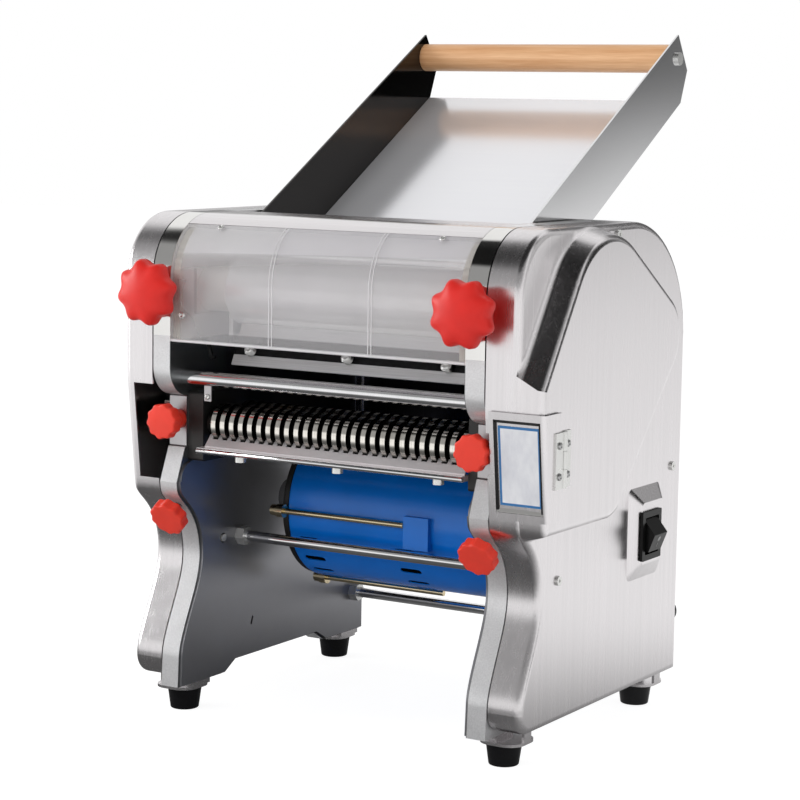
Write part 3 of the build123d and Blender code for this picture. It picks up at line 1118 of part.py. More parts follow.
def make_switch():
    face_x = COVER_OUT + SWITCH_PAD_HIGH
    body_inset = BEZEL_LIP + CLEAR / 2
    bezel = plate_x(switch_window(0), face_x, face_x + BEZEL_LIP)
    bezel += plate_x(switch_window(body_inset), face_x - BEZEL_DEEP, face_x)
    room_x = (face_x - BEZEL_DEEP + BEZEL_WALL, face_x + BEZEL_LIP)
    bezel -= plate_x(switch_window(body_inset + BEZEL_WALL), *room_x)
    pivot_x = face_x - ROCKER_SINK
    bezel -= bar_y(pivot_x, SWITCH_AT[1], SWITCH_AT[0] - 12.2, SWITCH_AT[0] + 12.2, 1.0 + FIT)
    write("switch_bezel", bezel)

    half_y, half_z = SWITCH_SIZE[0] / 2 - 5.0, SWITCH_SIZE[1] / 2 - 6.0
    z = SWITCH_AT[1]
    low_end = [(pivot_x - 3, z - half_z + 1), (pivot_x + 3.5, z - half_z)]
    high_end = [(pivot_x + 3.5, z + half_z), (pivot_x - 3, z + half_z - 1)]
    side = Polygon(*low_end, (pivot_x + ROCKER_RISE, z), *high_end, align=None)
    rocker = extrude(Plane.XZ * side, half_y, both=True).moved(Location((0, SWITCH_AT[0], 0)))
    rocker = fillet(rocker.edges().filter_by(Axis.Y).sort_by(Axis.X)[-1], 1.0)
    pin = bar_y(pivot_x, SWITCH_AT[1], SWITCH_AT[0] - half_y - 1.4, SWITCH_AT[0] + half_y + 1.4, 1.0)
    tip = Pos(pivot_x, 0, SWITCH_AT[1]) * Rot(0, -ROCKER_TILT, 0) * Pos(-pivot_x, 0, -SWITCH_AT[1])
    write("switch_rocker", tip * rocker + pin)


def make_screws(comb_bolts):
    """Round-headed screws on the covers, the frames' caps and the cutter plates."""
    screws = list(comb_bolts)
    screws.append(bar_x(-FRAME_IN, 3.0 - FRAME_IN, LINER_SCREW_AT, SCREW_R - 0.6))
    for at in COVER_SCREWS:
        screw = bar_x(COVER_OUT, COVER_OUT + 1.6, at, SCREW_R)
        screw += bar_x(COVER_OUT - 9, COVER_OUT, at, SCREW_STEM_R)
        screws += both_sides(screw - bar_x(COVER_OUT + 0.9, COVER_OUT + 2, at, 1.1))
    write("screws", *screws)


# ---- Tray ---------------------------------------------------------------------------------------------
def tray_cheek_face():
    """Side view of one cheek of the tray."""
    reach = TRAY_LENGTH + TRAY_LAP
    front = (TRAY_NOSE[0] - reach * TRAY_RUN, TRAY_NOSE[1] - reach * TRAY_RISE)
    return Polygon(TRAY_NOSE, TRAY_HEEL, TRAY_CORNER, TRAY_LOW, front, align=None)


def make_tray():
    half = TRAY_HALF_X
    stem_r, head_r, head_high = TRAY_SCREW
    cheek = plate_x(tray_cheek_face(), half - SHEET, half)
    cheek -= bar_x(half - SHEET, half, TRAY_ROD, stem_r)
    floor = strip_x(-half, half, TRAY_LOW, TRAY_CORNER, SHEET)
    tray = cheek + mirror(cheek, Plane.YZ) + floor
    write("feed_tray", tray)

    inner = half - SHEET - CLEAR
    bore = bar_x(inner - TRAY_SCREW_DEEP - 1, inner, TRAY_ROD, stem_r + FIT)
    rod = bar_x(-inner, inner, TRAY_ROD, TRAY_ROD_R) - bore - mirror(bore, Plane.YZ)
    write("wooden_roller", rod)
    screw = bar_x(inner - TRAY_SCREW_DEEP, half, TRAY_ROD, stem_r)
    screw += bar_x(half, half + head_high, TRAY_ROD, head_r)
    write("tray_screws", *both_sides(screw))


def run_all():
    os.makedirs("parts", exist_ok=True)
    make_frames()
    make_frame_caps()
    make_lower_plates()
    make_left_cover()
    make_right_cover()
    make_cord_gland()
    make_top_cover()
    make_rear_cover()
    make_guard()
    make_feet()
    make_bars()
    make_drive_train()
    make_rollers()
    make_scrapers()
    make_motor()
    make_knobs()
    make_door()
    make_hinge()
    make_switch()
    make_screws(make_cutters())
    make_tray()


run_all()
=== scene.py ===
import json
import math

import bmesh
import bpy
from bpy.props import FloatProperty, FloatVectorProperty, IntProperty, PointerProperty
from mathutils import Matrix, Vector


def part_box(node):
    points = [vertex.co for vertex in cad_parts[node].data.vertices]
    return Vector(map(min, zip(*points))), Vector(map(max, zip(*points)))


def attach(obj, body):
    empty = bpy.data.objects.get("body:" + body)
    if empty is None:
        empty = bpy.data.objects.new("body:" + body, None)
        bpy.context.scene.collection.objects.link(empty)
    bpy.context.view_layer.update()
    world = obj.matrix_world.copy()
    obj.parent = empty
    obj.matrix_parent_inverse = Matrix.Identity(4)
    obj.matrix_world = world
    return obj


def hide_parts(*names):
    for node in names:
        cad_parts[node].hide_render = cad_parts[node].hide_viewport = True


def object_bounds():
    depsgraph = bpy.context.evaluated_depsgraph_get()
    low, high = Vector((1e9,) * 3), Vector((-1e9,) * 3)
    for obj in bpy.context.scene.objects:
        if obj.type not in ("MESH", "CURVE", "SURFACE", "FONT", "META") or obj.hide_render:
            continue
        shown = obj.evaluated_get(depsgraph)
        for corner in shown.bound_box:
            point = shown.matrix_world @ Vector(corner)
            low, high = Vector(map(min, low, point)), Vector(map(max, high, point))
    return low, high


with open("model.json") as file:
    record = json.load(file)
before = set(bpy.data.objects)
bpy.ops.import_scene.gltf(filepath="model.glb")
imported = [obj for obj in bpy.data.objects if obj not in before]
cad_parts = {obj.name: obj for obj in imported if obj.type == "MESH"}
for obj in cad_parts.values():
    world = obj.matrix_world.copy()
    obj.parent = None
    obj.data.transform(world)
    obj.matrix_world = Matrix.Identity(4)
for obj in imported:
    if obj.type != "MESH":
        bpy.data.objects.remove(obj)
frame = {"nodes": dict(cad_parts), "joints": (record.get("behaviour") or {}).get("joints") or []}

bl_info = {
    "name": "Electric Pasta Maker",
    "version": (1, 0, 0),
    "blender": (4, 5, 0),
    "location": "View3D > Sidebar > Pasta Maker",
    "description": "Dresses an electric pasta maker and sets up its stage",
    "category": "Object",
}

NODES = frame["nodes"]
JOINTS = {joint["name"]: joint for joint in frame["joints"]}
CAD_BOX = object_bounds()
FLOOR_Z = CAD_BOX[0].z
AHEAD = Vector((0, -1, 0))
DOOR_LEAN = 0.1133  # How far back the door's front runs for each metre down


# ---- Shader maths ----------------------------------------------------------------
class Wire:
    """A value on its way through a material's nodes, which can be used in sums."""

    def __init__(self, tree, socket=None):
        self.tree = tree
        self.socket = socket

    def node(self, kind, settings=None, inputs=None, output=0):
        """Adds a node: its settings come first, then its sockets' values or links."""
        made = self.tree.nodes.new(kind)
        for name, value in (settings or {}).items():
            setattr(made, name, value)
        for name, value in (inputs or {}).items():
            if isinstance(value, Wire):
                self.tree.links.new(value.socket, made.inputs[name])
            else:
                made.inputs[name].default_value = value
        return Wire(self.tree, made.outputs[output])

    def maths(self, operation, *values):
        return self.node("ShaderNodeMath", {"operation": operation}, dict(enumerate(values)))

    def __add__(self, other):
        return self.maths("ADD", self, other)

    def __sub__(self, other):
        return self.maths("SUBTRACT", self, other)

    def __rsub__(self, other):
        return self.maths("SUBTRACT", other, self)

    def __mul__(self, other):
        return self.maths("MULTIPLY", self, other)

    def __gt__(self, other):
        return self.maths("GREATER_THAN", self, other)

    def __lt__(self, other):
        return self.maths("LESS_THAN", self, other)

    __radd__ = __add__

    def absolute(self):
        return self.maths("ABSOLUTE", self)

    def between(self, low, high, smooth=False):
        """0 at low, 1 at high, and held there outside."""
        curve = "SMOOTHSTEP" if smooth else "LINEAR"
        limits = {"Value": self, "From Min": low, "From Max": high}
        return self.node("ShaderNodeMapRange", {"clamp": True, "interpolation_type": curve}, limits)

    def window(self, rise, fall):
        """1 from where rise ends to where fall starts, and 0 before rise and after fall."""
        return self.between(*rise) * (1 - self.between(*fall))

    def place(self):
        """The place on the piece, in metres."""
        return self.node("ShaderNodeTexCoord", output="Object")

    def along(self, axis):
        """The place's coordinate along X, Y or Z, in metres."""
        return self.node("ShaderNodeSeparateXYZ", inputs={0: self.place()}, output="XYZ".index(axis))

    def out_from(self, y, z):
        """The place's distance from the line along X through y and z."""
        out_y, out_z = self.along("Y") - y, self.along("Z") - z
        return self.maths("SQRT", out_y * out_y + out_z * out_z)

    def noise(self, scale, detail=2.0, roughness=0.5):
        """Noise of so many cells per metre; three numbers stretch it."""
        if isinstance(scale, (int, float)):
            scale = (scale, scale, scale)
        spot = self.node("ShaderNodeMapping", inputs={"Vector": self.place(), "Scale": scale})
        levels = {"Vector": spot, "Scale": 1.0, "Detail": detail, "Roughness": roughness}
        return self.node("ShaderNodeTexNoise", inputs=levels)

    def blend(self, first, second):
        """Colour that runs from first to second as this goes from 0 to 1."""
        colours = {6: tinted(first), 7: tinted(second)}
        return self.node("ShaderNodeMix", {"data_type": "RGBA"}, {0: self, **colours}, output=2)

    def bump(self, strength, distance):
        """Normal with this as its height, at so many metres for 1."""
        levels = {"Height": self, "Strength": strength, "Distance": distance}
        return self.node("ShaderNodeBump", inputs=levels)


def tinted(colour):
    """A colour as a socket takes it: a link, or red, green, blue and 1."""
    return colour if isinstance(colour, Wire) else (*colour[:3], 1.0)


def shaded(tint, share):
    """A tint made darker or lighter by a share, and never above white."""
    return [min(1.0, c * share) for c in tint]


def grained(grain, across, along):
    """Noise cells per metre for lines that run along one axis."""
    return tuple(along if axis == grain else across for axis in "XYZ")


MATERIALS = {}


def material(name, sockets, varying):
    """A material made once: constants for its sockets, and a function for what varies over it."""
    if name in MATERIALS:
        return MATERIALS[name]
    made = bpy.data.materials.new(name)
    made.use_nodes = True
    shader = made.node_tree.nodes["Principled BSDF"]
    for socket, value in sockets.items():
        shader.inputs[socket].default_value = value
    for socket, wire in varying(Wire(made.node_tree)).items():
        made.node_tree.links.new(wire.socket, shader.inputs[socket])
    MATERIALS[name] = made
    return made


# ---- Finishes --------------------------------------------------------------------
def brushed(name, grain, patch=None, polish=0.0):
    """Brushed sheet with its grain along an axis. patch gives a share, its tint and its metallic."""
    tint, roughness = metals().stainless, metals().brushed_roughness - polish

    def varying(start):
        lines = start.noise(grained(grain, 2600.0, 9.0), detail=3.0, roughness=0.6)
        bands = start.noise(grained(grain, 230.0, 3.0), detail=4.0, roughness=0.65)
        cloud = start.noise(14.0)
        mixed = lines * 0.35 + bands * 0.5 + cloud * 0.15
        maps = {
            "Base Color": mixed.between(0.3, 0.7).blend(shaded(tint, 0.9), shaded(tint, 1.05)),
            "Roughness": roughness - 0.08 + mixed * 0.16,
            "Normal": lines.bump(0.04, distance=0.00005),
        }
        if patch:
            share, other, metallic = patch(start)
            maps["Base Color"] = share.blend(maps["Base Color"], other)
            maps["Metallic"] = 1 - share * (1 - metallic)
        return maps

    return material(name, {"Metallic": 1.0}, varying)


def turned(name, tint, roughness=0.2, metallic=1.0):
    """Metal turned about X, with fine marks round it."""

    def varying(start):
        marks = start.noise(grained("X", 26.0, 3200.0))
        haze = start.noise(40.0, detail=3.0)
        mixed = (marks * 0.4 + haze * 0.6).between(0.3, 0.75)
        return {
            "Base Color": mixed.blend(shaded(tint, 0.86), tint),
            "Roughness": roughness - 0.05 + marks * 0.1,
            "Normal": marks.bump(0.1, distance=0.00005),
        }

    return material(name, {"Metallic": metallic}, varying)


def cast(name, tint, roughness, metallic, grain=900.0, depth=0.00012, shine=0.5):
    """Fine cast, blasted or moulded skin with slight clouds."""

    def varying(start):
        skin = start.noise(grain, detail=4.0, roughness=0.6)
        cloud = start.noise(30.0, detail=3.0)
        mixed = (skin * 0.3 + cloud * 0.7).between(0.3, 0.7)
        return {
            "Base Color": mixed.blend(shaded(tint, 0.88), tint),
            "Roughness": roughness - 0.06 + cloud * 0.12,
            "Normal": skin.bump(0.25, distance=depth),
        }

    return material(name, {"Metallic": metallic, "Specular IOR Level": shine}, varying)


def stainless_upright():
    return brushed("stainless_upright", "Z")


def stainless_across():
    return brushed("stainless_across", "X", polish=0.06)


def bulged_sheet():
    """Upright brushed sheet with a painted highlight: paler and more satin on the flat in front of the
    bulge.
    """
    flat_x = 0.151
    rise, fall = (flat_x - 0.0014, flat_x - 0.0002), (flat_x + 0.0015, flat_x + 0.0035)

    def painted_highlight(start):
        x, y, z = (start.along(axis) for axis in "XYZ")
        flat = x.window(rise, fall)
        upper_front = (1 - y.between(-0.06, -0.02, smooth=True)) * z.between(0.25, 0.3, smooth=True)
        # painted highlight: the flat's upper front gets a paler tint and less metal
        return flat * upper_front, (0.9, 0.87, 0.88), 0.3

    return brushed("bulged_sheet", "Z", painted_highlight)


def panel_sheet():
    """Upright brushed sheet with painted shade, near black, on its inner side."""
    skin_deep = 0.0006
    outer_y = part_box("rear_cover")[1].y - skin_deep

    def painted_shade_inner_side(start):
        # painted shade: the panel's inner side is tinted near black
        return start.along("Y") < outer_y, (0.035, 0.035, 0.04), 1.0

    return brushed("panel_sheet", "Z", painted_shade_inner_side)


def polished_frame():
    """Polished casting; its inner faces carry painted light, a pale tint, behind the guard and painted
    shade below it.
    """
    skin_deep = 0.0004
    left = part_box("side_frame_left")[1].x - skin_deep
    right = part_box("side_frame_right")[0].x + skin_deep
    guard_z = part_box("guard")[0].z

    def varying(start):
        skin = start.noise(900.0, detail=4.0, roughness=0.6)
        cloud = start.noise(30.0, detail=3.0)
        tint = metals().frame
        polished = (skin * 0.6 + cloud * 0.4).between(0.35, 0.65).blend(shaded(tint, 0.8), tint)
        inner = (start.along("X") > left) * (start.along("X") < right)
        above = start.along("Z") > guard_z
        inwards = start.along("Y").between(-0.13, -0.07, smooth=True)
        # painted shade: inner faces below the guard, darker further in
        painted_shade_below = inwards.blend((0.24, 0.25, 0.255), (0.05, 0.05, 0.055))
        return {
            # painted light: inner faces above the guard's lower edge get a pale tint and little metal
            "Base Color": inner.blend(polished, above.blend(painted_shade_below, (0.92, 0.88, 0.86))),
            "Roughness": 0.24 + cloud * 0.12,
            "Metallic": 0.5 + inner * (0.4 - above * 0.8),
            "Normal": skin.bump(0.25, distance=0.00004),
        }

    return material("polished_frame", {}, varying)


def satin_liner():
    return cast("satin_liner", (0.34, 0.34, 0.36), roughness=0.34, metallic=0.9,
                grain=1300.0, depth=0.00004)


def mirror_cap():
    return cast("mirror_cap", (0.88, 0.87, 0.85), roughness=0.1, metallic=1.0,
                grain=1600.0, depth=0.00001)


def tray_sheet():
    """Satin floor between two mirror-bright cheeks; the left cheek is darker with a painted dark
    reflection.
    """
    low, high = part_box("feed_tray")
    middle, half = (low.x + high.x) / 2, (high.x - low.x) / 2
    cheek_deep = 0.0018

    def varying(start):
        lines = start.noise(grained("X", 2600.0, 9.0), detail=3.0, roughness=0.6)
        across = start.along("X") - middle
        cheek = across.absolute() > half - cheek_deep
        satin = lines.between(0.3, 0.7).blend((0.92, 0.92, 0.96), (0.97, 0.97, 0.99))
        # painted reflection: the left cheek is tinted near black, the right one mirror-bright
        mirror = (across > 0.0).blend((0.075, 0.072, 0.07), (0.78, 0.78, 0.79))
        return {
            "Base Color": cheek.blend(satin, mirror),
            "Roughness": 0.17 - cheek * 0.07,
            "Metallic": 0.55 + cheek * 0.45,
            "Normal": lines.bump(0.1, distance=0.00004),
        }

    return material("tray_sheet", {}, varying)


def satin_roller():
    return turned("satin_roller", (0.97, 0.95, 0.95), roughness=0.2, metallic=0.3)


def pale_block():
    return cast("pale_block", (0.9, 0.84, 0.8), roughness=0.45, metallic=0.1,
                grain=900.0, depth=0.00006)


def comb_plate():
    return cast("comb_plate", (0.82, 0.78, 0.79), roughness=0.32, metallic=0.55,
                grain=1300.0, depth=0.00004)


def satin_block():
    return cast("satin_block", (0.55, 0.53, 0.54), roughness=0.34, metallic=1.0,
                grain=1300.0, depth=0.00004)


def pale_marks():
    return cast("pale_marks", (0.36, 0.36, 0.36), roughness=0.4, metallic=0.0)


def chrome():
    return turned("chrome", (0.88, 0.88, 0.89), roughness=0.09)


def tool_steel(node):
    """Rings bright on the crown of each, darker at a slant by a painted dark reflection, and black in the
    grooves by painted shade.
    """
    low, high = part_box(node)
    axis, crown = (low + high) / 2, (high.z - low.z) / 2
    groove, edge = crown - 0.0022, crown - 0.0008

    def varying(start):
        # painted shade: 0 in the grooves, which are tinted black, and 1 on the rings
        outside_painted_shade = start.out_from(axis.y, axis.z).between(groove, edge)
        marks = start.noise(grained("X", 60.0, 3200.0))
        bright = marks.between(0.3, 0.7).blend((0.74, 0.7, 0.64), (0.96, 0.93, 0.87))
        slant = start.node("ShaderNodeLayerWeight", inputs={"Blend": 0.5}, output="Facing")
        # painted reflection: the rings darken where they turn away from the view
        crowns_with_painted_reflection = slant.between(0.26, 0.46, smooth=True).blend(bright, (0.07, 0.066, 0.06))
        return {
            "Base Color": outside_painted_shade.blend((0.02, 0.019, 0.018), crowns_with_painted_reflection),
            "Roughness": 0.42 - outside_painted_shade * 0.32 + marks * 0.06,
            "Normal": marks.bump(0.1, distance=0.00004),
        }

    return material("tool_steel_" + node, {"Metallic": 1.0}, varying)


def scraper_steel():
    """Satin blade with a band of painted shade, near black, along the row of its screws."""
    blade, row, soft = 0.0078, 0.013, 0.0005
    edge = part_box("scraper_front")[0].z + blade

    def varying(start):
        lines = start.noise(grained("X", 2400.0, 20.0), detail=3.0, roughness=0.6)
        above = start.along("Z") - edge
        # painted shade: a near-black band from the blade's edge up to the row of screws
        outside_painted_shade = 1 - above.window((-0.0001, 0.0001), (row - soft, row + soft))
        satin = lines.between(0.3, 0.7).blend((0.6, 0.6, 0.6), (0.8, 0.8, 0.8))
        return {
            "Base Color": outside_painted_shade.blend((0.025, 0.025, 0.026), satin),
            "Roughness": 0.36 - outside_painted_shade * 0.1 + lines * 0.08,
            "Metallic": 1.0 - outside_painted_shade * 0.4,
            "Normal": lines.bump(0.1, distance=0.00004),
        }

    return material("scraper_steel", {}, varying)


def zinc_plate():
    return cast("zinc_plate", (0.84, 0.84, 0.82), roughness=0.26, metallic=0.7,
                grain=1200.0, depth=0.00004)


def machined_steel():
    return turned("machined_steel", (0.5, 0.5, 0.5), roughness=0.28)


def blackened_steel():
    return cast("blackened_steel", (0.045, 0.043, 0.042), roughness=0.42, metallic=0.6,
                grain=1000.0, depth=0.00006)


def grey_casting():
    return cast("grey_casting", (0.33, 0.33, 0.34), roughness=0.5, metallic=0.55, grain=700.0)


def motor_enamel():
    """Blue enamel, with painted shade, near black, in the vents."""
    low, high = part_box("motor_body")
    axis = Vector(JOINTS["motor_spin"]["pos_m"])
    skin_deep, end = 0.0008, 0.004
    under_skin = (high.z - low.z) / 2 - skin_deep

    def varying(start):
        skin = start.noise(700.0, detail=3.0)
        wave = start.noise(24.0)
        tint = paints().motor
        between_ends = (start.along("X") > low.x + end) * (start.along("X") < high.x - end)
        # painted shade: points sunk below the enamel's skin, in the vents, are tinted near black
        sunk = (start.out_from(axis.y, axis.z) < under_skin) * between_ends
        enamel = wave.between(0.3, 0.7).blend(shaded(tint, 0.86), tint)
        return {
            "Base Color": sunk.blend(enamel, (0.004, 0.006, 0.01)),
            "Roughness": 0.2 + wave * 0.1,
            "Normal": skin.bump(0.05, distance=0.00008),
        }

    gloss = {"Metallic": 0.0, "Specular IOR Level": 0.4, "Coat Weight": 0.3, "Coat Roughness": 0.1}
    return material("motor_enamel", gloss, varying)


def red_moulding(name, tint):
    """Satin plastic with light just under its skin."""

    def varying(start):
        skin = start.noise(1400.0, detail=3.0)
        cloud = start.noise(70.0, detail=3.0)
        return {
            "Base Color": cloud.between(0.3, 0.7).blend(shaded(tint, 0.9), tint),
            "Roughness": 0.38 + cloud * 0.1,
            "Normal": skin.bump(0.1, distance=0.00006),
        }

    soft = {"Metallic": 0.0, "Specular IOR Level": 0.45, "Subsurface Weight": 0.05,
            "Subsurface Scale": 0.002}
    return material(name, soft, varying)


def large_knob_red():
    return red_moulding("red_moulding", paints().knob)


def small_knob_red():
    return red_moulding("small_red_moulding", paints().small_knob)


def black_moulding():
    return cast("black_moulding", (0.005, 0.005, 0.005), roughness=0.3, metallic=0.0,
                grain=1500.0, depth=0.00003, shine=0.2)


def black_rubber():
    return cast("black_rubber", (0.006, 0.006, 0.007), roughness=0.24, metallic=0.0,
                grain=800.0, depth=0.00003, shine=0.4)


def cream_moulding():
    return cast("cream_moulding", (0.93, 0.88, 0.78), roughness=0.42, metallic=0.0,
                grain=900.0, depth=0.00005)


def clear_sheet(name, haze):
    """Clear moulding: hardly seen from straight on, and a mirror where it turns away."""

    def varying(start):
        smear = start.noise((10.0, 10.0, 26.0), detail=3.0)
        fine = start.noise(260.0)
        edge_on = start.node("ShaderNodeFresnel", inputs={"IOR": 1.5})
        return {
            "Base Color": smear.between(0.3, 0.7).blend((0.94, 0.92, 0.95), (0.99, 0.98, 0.99)),
            "Roughness": 0.04 + smear * 0.08,
            "Alpha": edge_on * 1.5 + haze + smear * 0.04,
            "Normal": fine.bump(0.02, distance=0.0001),
        }

    return material(name, {"Metallic": 0.1}, varying)


def label_film():
    """Plain pale film with a border."""
    low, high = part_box("door_label")
    centre, half = (low + high) / 2, (high - low) / 2
    border = 0.0017

    def varying(start):
        side = (start.along("X") - centre.x).absolute() > half.x - border
        ends = (start.along("Z") - centre.z).absolute() > half.z - border
        edge = start.maths("MAXIMUM", side, ends)
        cloud = start.noise((140.0, 140.0, 60.0), detail=4.0, roughness=0.6)
        paper = cloud.between(0.3, 0.7).blend((0.7, 0.71, 0.76), (0.84, 0.85, 0.88))
        return {
            "Base Color": edge.blend(paper, paints().label_edge),
            "Roughness": 0.3 + cloud * 0.12,
            "Normal": cloud.bump(0.05, distance=0.0001),
        }

    return material("label_film", {"Metallic": 0.0}, varying)


def beech():
    """Oiled wood with its grain along X."""

    def varying(start):
        rings = start.noise(grained("X", 240.0, 9.0), detail=5.0, roughness=0.62)
        pores = start.noise(grained("X", 1900.0, 60.0))
        grain = rings * 0.75 + pores * 0.25
        return {
            "Base Color": grain.between(0.32, 0.68).blend((0.72, 0.34, 0.14), (1.0, 0.62, 0.34)),
            "Roughness": 0.38 + grain * 0.16,
            "Normal": grain.bump(0.15, distance=0.0002),
        }

    return material("beech", {"Metallic": 0.0, "Coat Weight": 0.3, "Coat Roughness": 0.3}, varying)


def brass():
    return turned("brass", (0.84, 0.71, 0.47), roughness=0.2)


# ---- Settings --------------------------------------------------------------------
def tint_setting(name, description, default):
    return FloatVectorProperty(name=name, description=description, subtype="COLOR",
                               default=default, min=0.0, max=1.0)


def share_setting(name, description, default, low=0.0, high=1.0):
    return FloatProperty(name=name, description=description, subtype="FACTOR",
                         default=default, min=low, max=high)


def depth_setting(name, description, default, high):
    return FloatProperty(name=name, description=description, subtype="DISTANCE", unit="LENGTH",
                         default=default, min=0.0, max=high)


def power_setting(name, description, default):
    return FloatProperty(name=name, description=description, unit="POWER", default=default, min=0.0)


class PastaMetals(bpy.types.PropertyGroup):
    stainless: tint_setting("Stainless", "Tint of the brushed covers", (0.8, 0.775, 0.785))
    frame: tint_setting("Frame", "Tint of the polished side frames", (0.8, 0.8, 0.81))
    brushed_roughness: share_setting("Brushed roughness", "Roughness of the brushed covers",
                                     0.26, low=0.1, high=0.8)


class PastaPaints(bpy.types.PropertyGroup):
    knob: tint_setting("Knobs", "Tint of the large knobs", (0.84, 0.02, 0.013))
    small_knob: tint_setting("Small knobs", "Tint of the small knobs", (0.92, 0.05, 0.026))
    motor: tint_setting("Motor", "Enamel on the motor", (0.0004, 0.2, 0.8))
    label_edge: tint_setting("Label edge", "Border of the door's plain label", (0.03, 0.17, 0.42))
    guard_haze: share_setting("Guard haze", "How much of the clear guard is seen", 0.11)


class PastaKnobs(bpy.types.PropertyGroup):
    large_lobes: IntProperty(name="Large lobes", description="Lobes of a large knob",
                             default=8, min=5, max=12)
    large_lobe_depth: depth_setting("Large lobe depth", "Depth between a large knob's lobes",
                                    0.0034, high=0.01)
    small_lobes: IntProperty(name="Small lobes", description="Lobes of a small knob",
                             default=10, min=5, max=14)
    small_lobe_depth: depth_setting("Small lobe depth", "Depth between a small knob's lobes",
                                    0.0012, high=0.004)


class PastaStage(bpy.types.PropertyGroup):
    key_power: power_setting("Key", "Power of the large soft lamp", 17.0)
    front_power: power_setting("Front", "Power of the lamp in front", 13.0)
    fill_power: power_setting("Fill", "Power of the fill lamp", 6.0)
    room_level: share_setting("Room", "Level of the white room on the object", 0.5, high=2.0)
    focal_length: FloatProperty(name="Focal length", description="Camera's focal length in millimetres",
                                unit="CAMERA", default=107.21, min=20.0)


def metals():
    return bpy.context.scene.pasta_metals


def paints():
    return bpy.context.scene.pasta_paints


def knobs():
    return bpy.context.scene.pasta_knobs


def stage():
    return bpy.context.scene.pasta_stage


# ---- Mesh helpers ----------------------------------------------------------------
def dress(finish, *names):
    """Gives nodes a finish."""
    for name in names:
        mesh = NODES[name].data
        mesh.materials.clear()
        mesh.materials.append(finish)


def mesh_from(name, work):
    """Turns a finished bmesh into a mesh."""
    bmesh.ops.recalc_face_normals(work, faces=work.faces)
    mesh = bpy.data.meshes.new(name)
    work.to_mesh(mesh)
    work.free()
    return mesh


def add_piece(name, work, finish, body, smooth=True):
    """Puts a finished bmesh in the scene as a piece that rides on a body."""
    mesh = mesh_from(name, work)
    mesh.materials.append(finish)
    for face in mesh.polygons:
        face.use_smooth = smooth
    made = bpy.data.objects.new(name, mesh)
    bpy.context.scene.collection.objects.link(made)
    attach(made, body)
    return made


def skin_rings(work, rings):
    """Joins rings of equally many points into a skin, closed at both ends."""
    made = [[work.verts.new(point) for point in ring] for ring in rings]
    for low, high in zip(made, made[1:]):
        for index in range(len(low)):
            after = (index + 1) % len(low)
            work.faces.new((low[index], low[after], high[after], high[index]))
    work.faces.new(list(reversed(made[0])))
    work.faces.new(made[-1])


def facing(point, outwards):
    """Matrix whose Z points outwards from a point, with X as level as it can be."""
    z = Vector(outwards).normalized()
    x = Vector((1, 0, 0))
    y = z.cross(x).normalized()
    x = y.cross(z)
    return Matrix.Translation(point) @ Matrix((x, y, z)).transposed().to_4x4()


def aimed(start, end):
    """Matrix at start whose Z points at end."""
    turn = (Vector(end) - Vector(start)).to_track_quat("Z", "Y")
    return Matrix.Translation(start) @ turn.to_matrix().to_4x4()


def circle(radius, height, sides=32):
    return [Vector((radius * math.cos(a), radius * math.sin(a), height))
            for a in (2 * math.pi * i / sides for i in range(sides))]


def turn_profile(work, start, end, profile, sides=32):
    """Skin turned about the line from start towards end. profile is (radius, distance from start)."""
    where = aimed(start, end)
    skin_rings(work, [[where @ point for point in circle(radius, along, sides)]
                      for radius, along in profile])


def rod(work, start, end, radius):
    """Round rod with its ends broken."""
    length = (Vector(end) - Vector(start)).length
    edge = min(radius, length) * 0.2
    profile = [(radius - edge, 0.0), (radius, edge), (radius, length - edge), (radius - edge, length)]
    turn_profile(work, start, end, profile, sides=24)


def pan_head(work, seat, outwards, radius, height):
    """Round screw head with a socket in it."""
    top = Vector(seat) + Vector(outwards).normalized()
    shape = ((1.0, 0.0), (1.0, 0.35), (0.86, 0.8), (0.6, 1.0), (0.48, 1.0), (0.42, 0.4))
    turn_profile(work, seat, top, [(radius * across, height * up) for across, up in shape])


def slab(work, middle, size, turn=None):
    """Block with its edges broken."""
    where = Matrix.Translation(middle) @ (turn or Matrix.Identity(4)) @ Matrix.Diagonal((*size, 1.0))
    made = bmesh.ops.create_cube(work, size=1.0, matrix=where)["verts"]
    edges = {edge for vert in made for edge in vert.link_edges}
    bmesh.ops.bevel(work, geom=list(edges), offset=min(size) * 0.2, segments=2, affect="EDGES")


def band(work, path, middle_x, width, height):
    """Raised line over a skin that runs round X. path is (place, outwards) pairs."""
    left, right = Vector((middle_x - width / 2, 0, 0)), Vector((middle_x + width / 2, 0, 0))
    rings = []
    for place, outwards in path:
        low, high = place - outwards * height * 0.3, place + outwards * height
        rings.append([low + left, high + left, high + right, low + right])
    skin_rings(work, rings)


# ---- Covers and frames -----------------------------------------------------------
class PASTA_OT_covers(bpy.types.Operator):
    """Finish the side covers, the top and the rear panel"""
    bl_idname = "pasta.covers"
    bl_label = "Covers"
    bl_options = {"REGISTER", "UNDO"}

    def execute(self, context):
        dress(stainless_upright(), "left_cover")
        dress(bulged_sheet(), "right_cover")
        dress(panel_sheet(), "rear_cover")
        dress(stainless_across(), "top_cover")
        dress(black_moulding(), "cord_gland")
        return {"FINISHED"}


class PASTA_OT_frames(bpy.types.Operator):
    """Finish the side frames, their caps, liners, rods and bars"""
    bl_idname = "pasta.frames"
    bl_label = "Frames and rods"
    bl_options = {"REGISTER", "UNDO"}

    def execute(self, context):
        dress(polished_frame(), "side_frame_left", "side_frame_right")
        dress(mirror_cap(), "frame_caps")
        dress(satin_liner(), "lower_plates")
        dress(stainless_upright(), "foot_brackets")
        dress(chrome(), "front_bar", "tie_rods")
        dress(zinc_plate(), "tie_rod_nuts", "screws", "tray_screws")
        dress(black_rubber(), "feet")
        make_bar_tab()
        make_panel_edges()
        return {"FINISHED"}


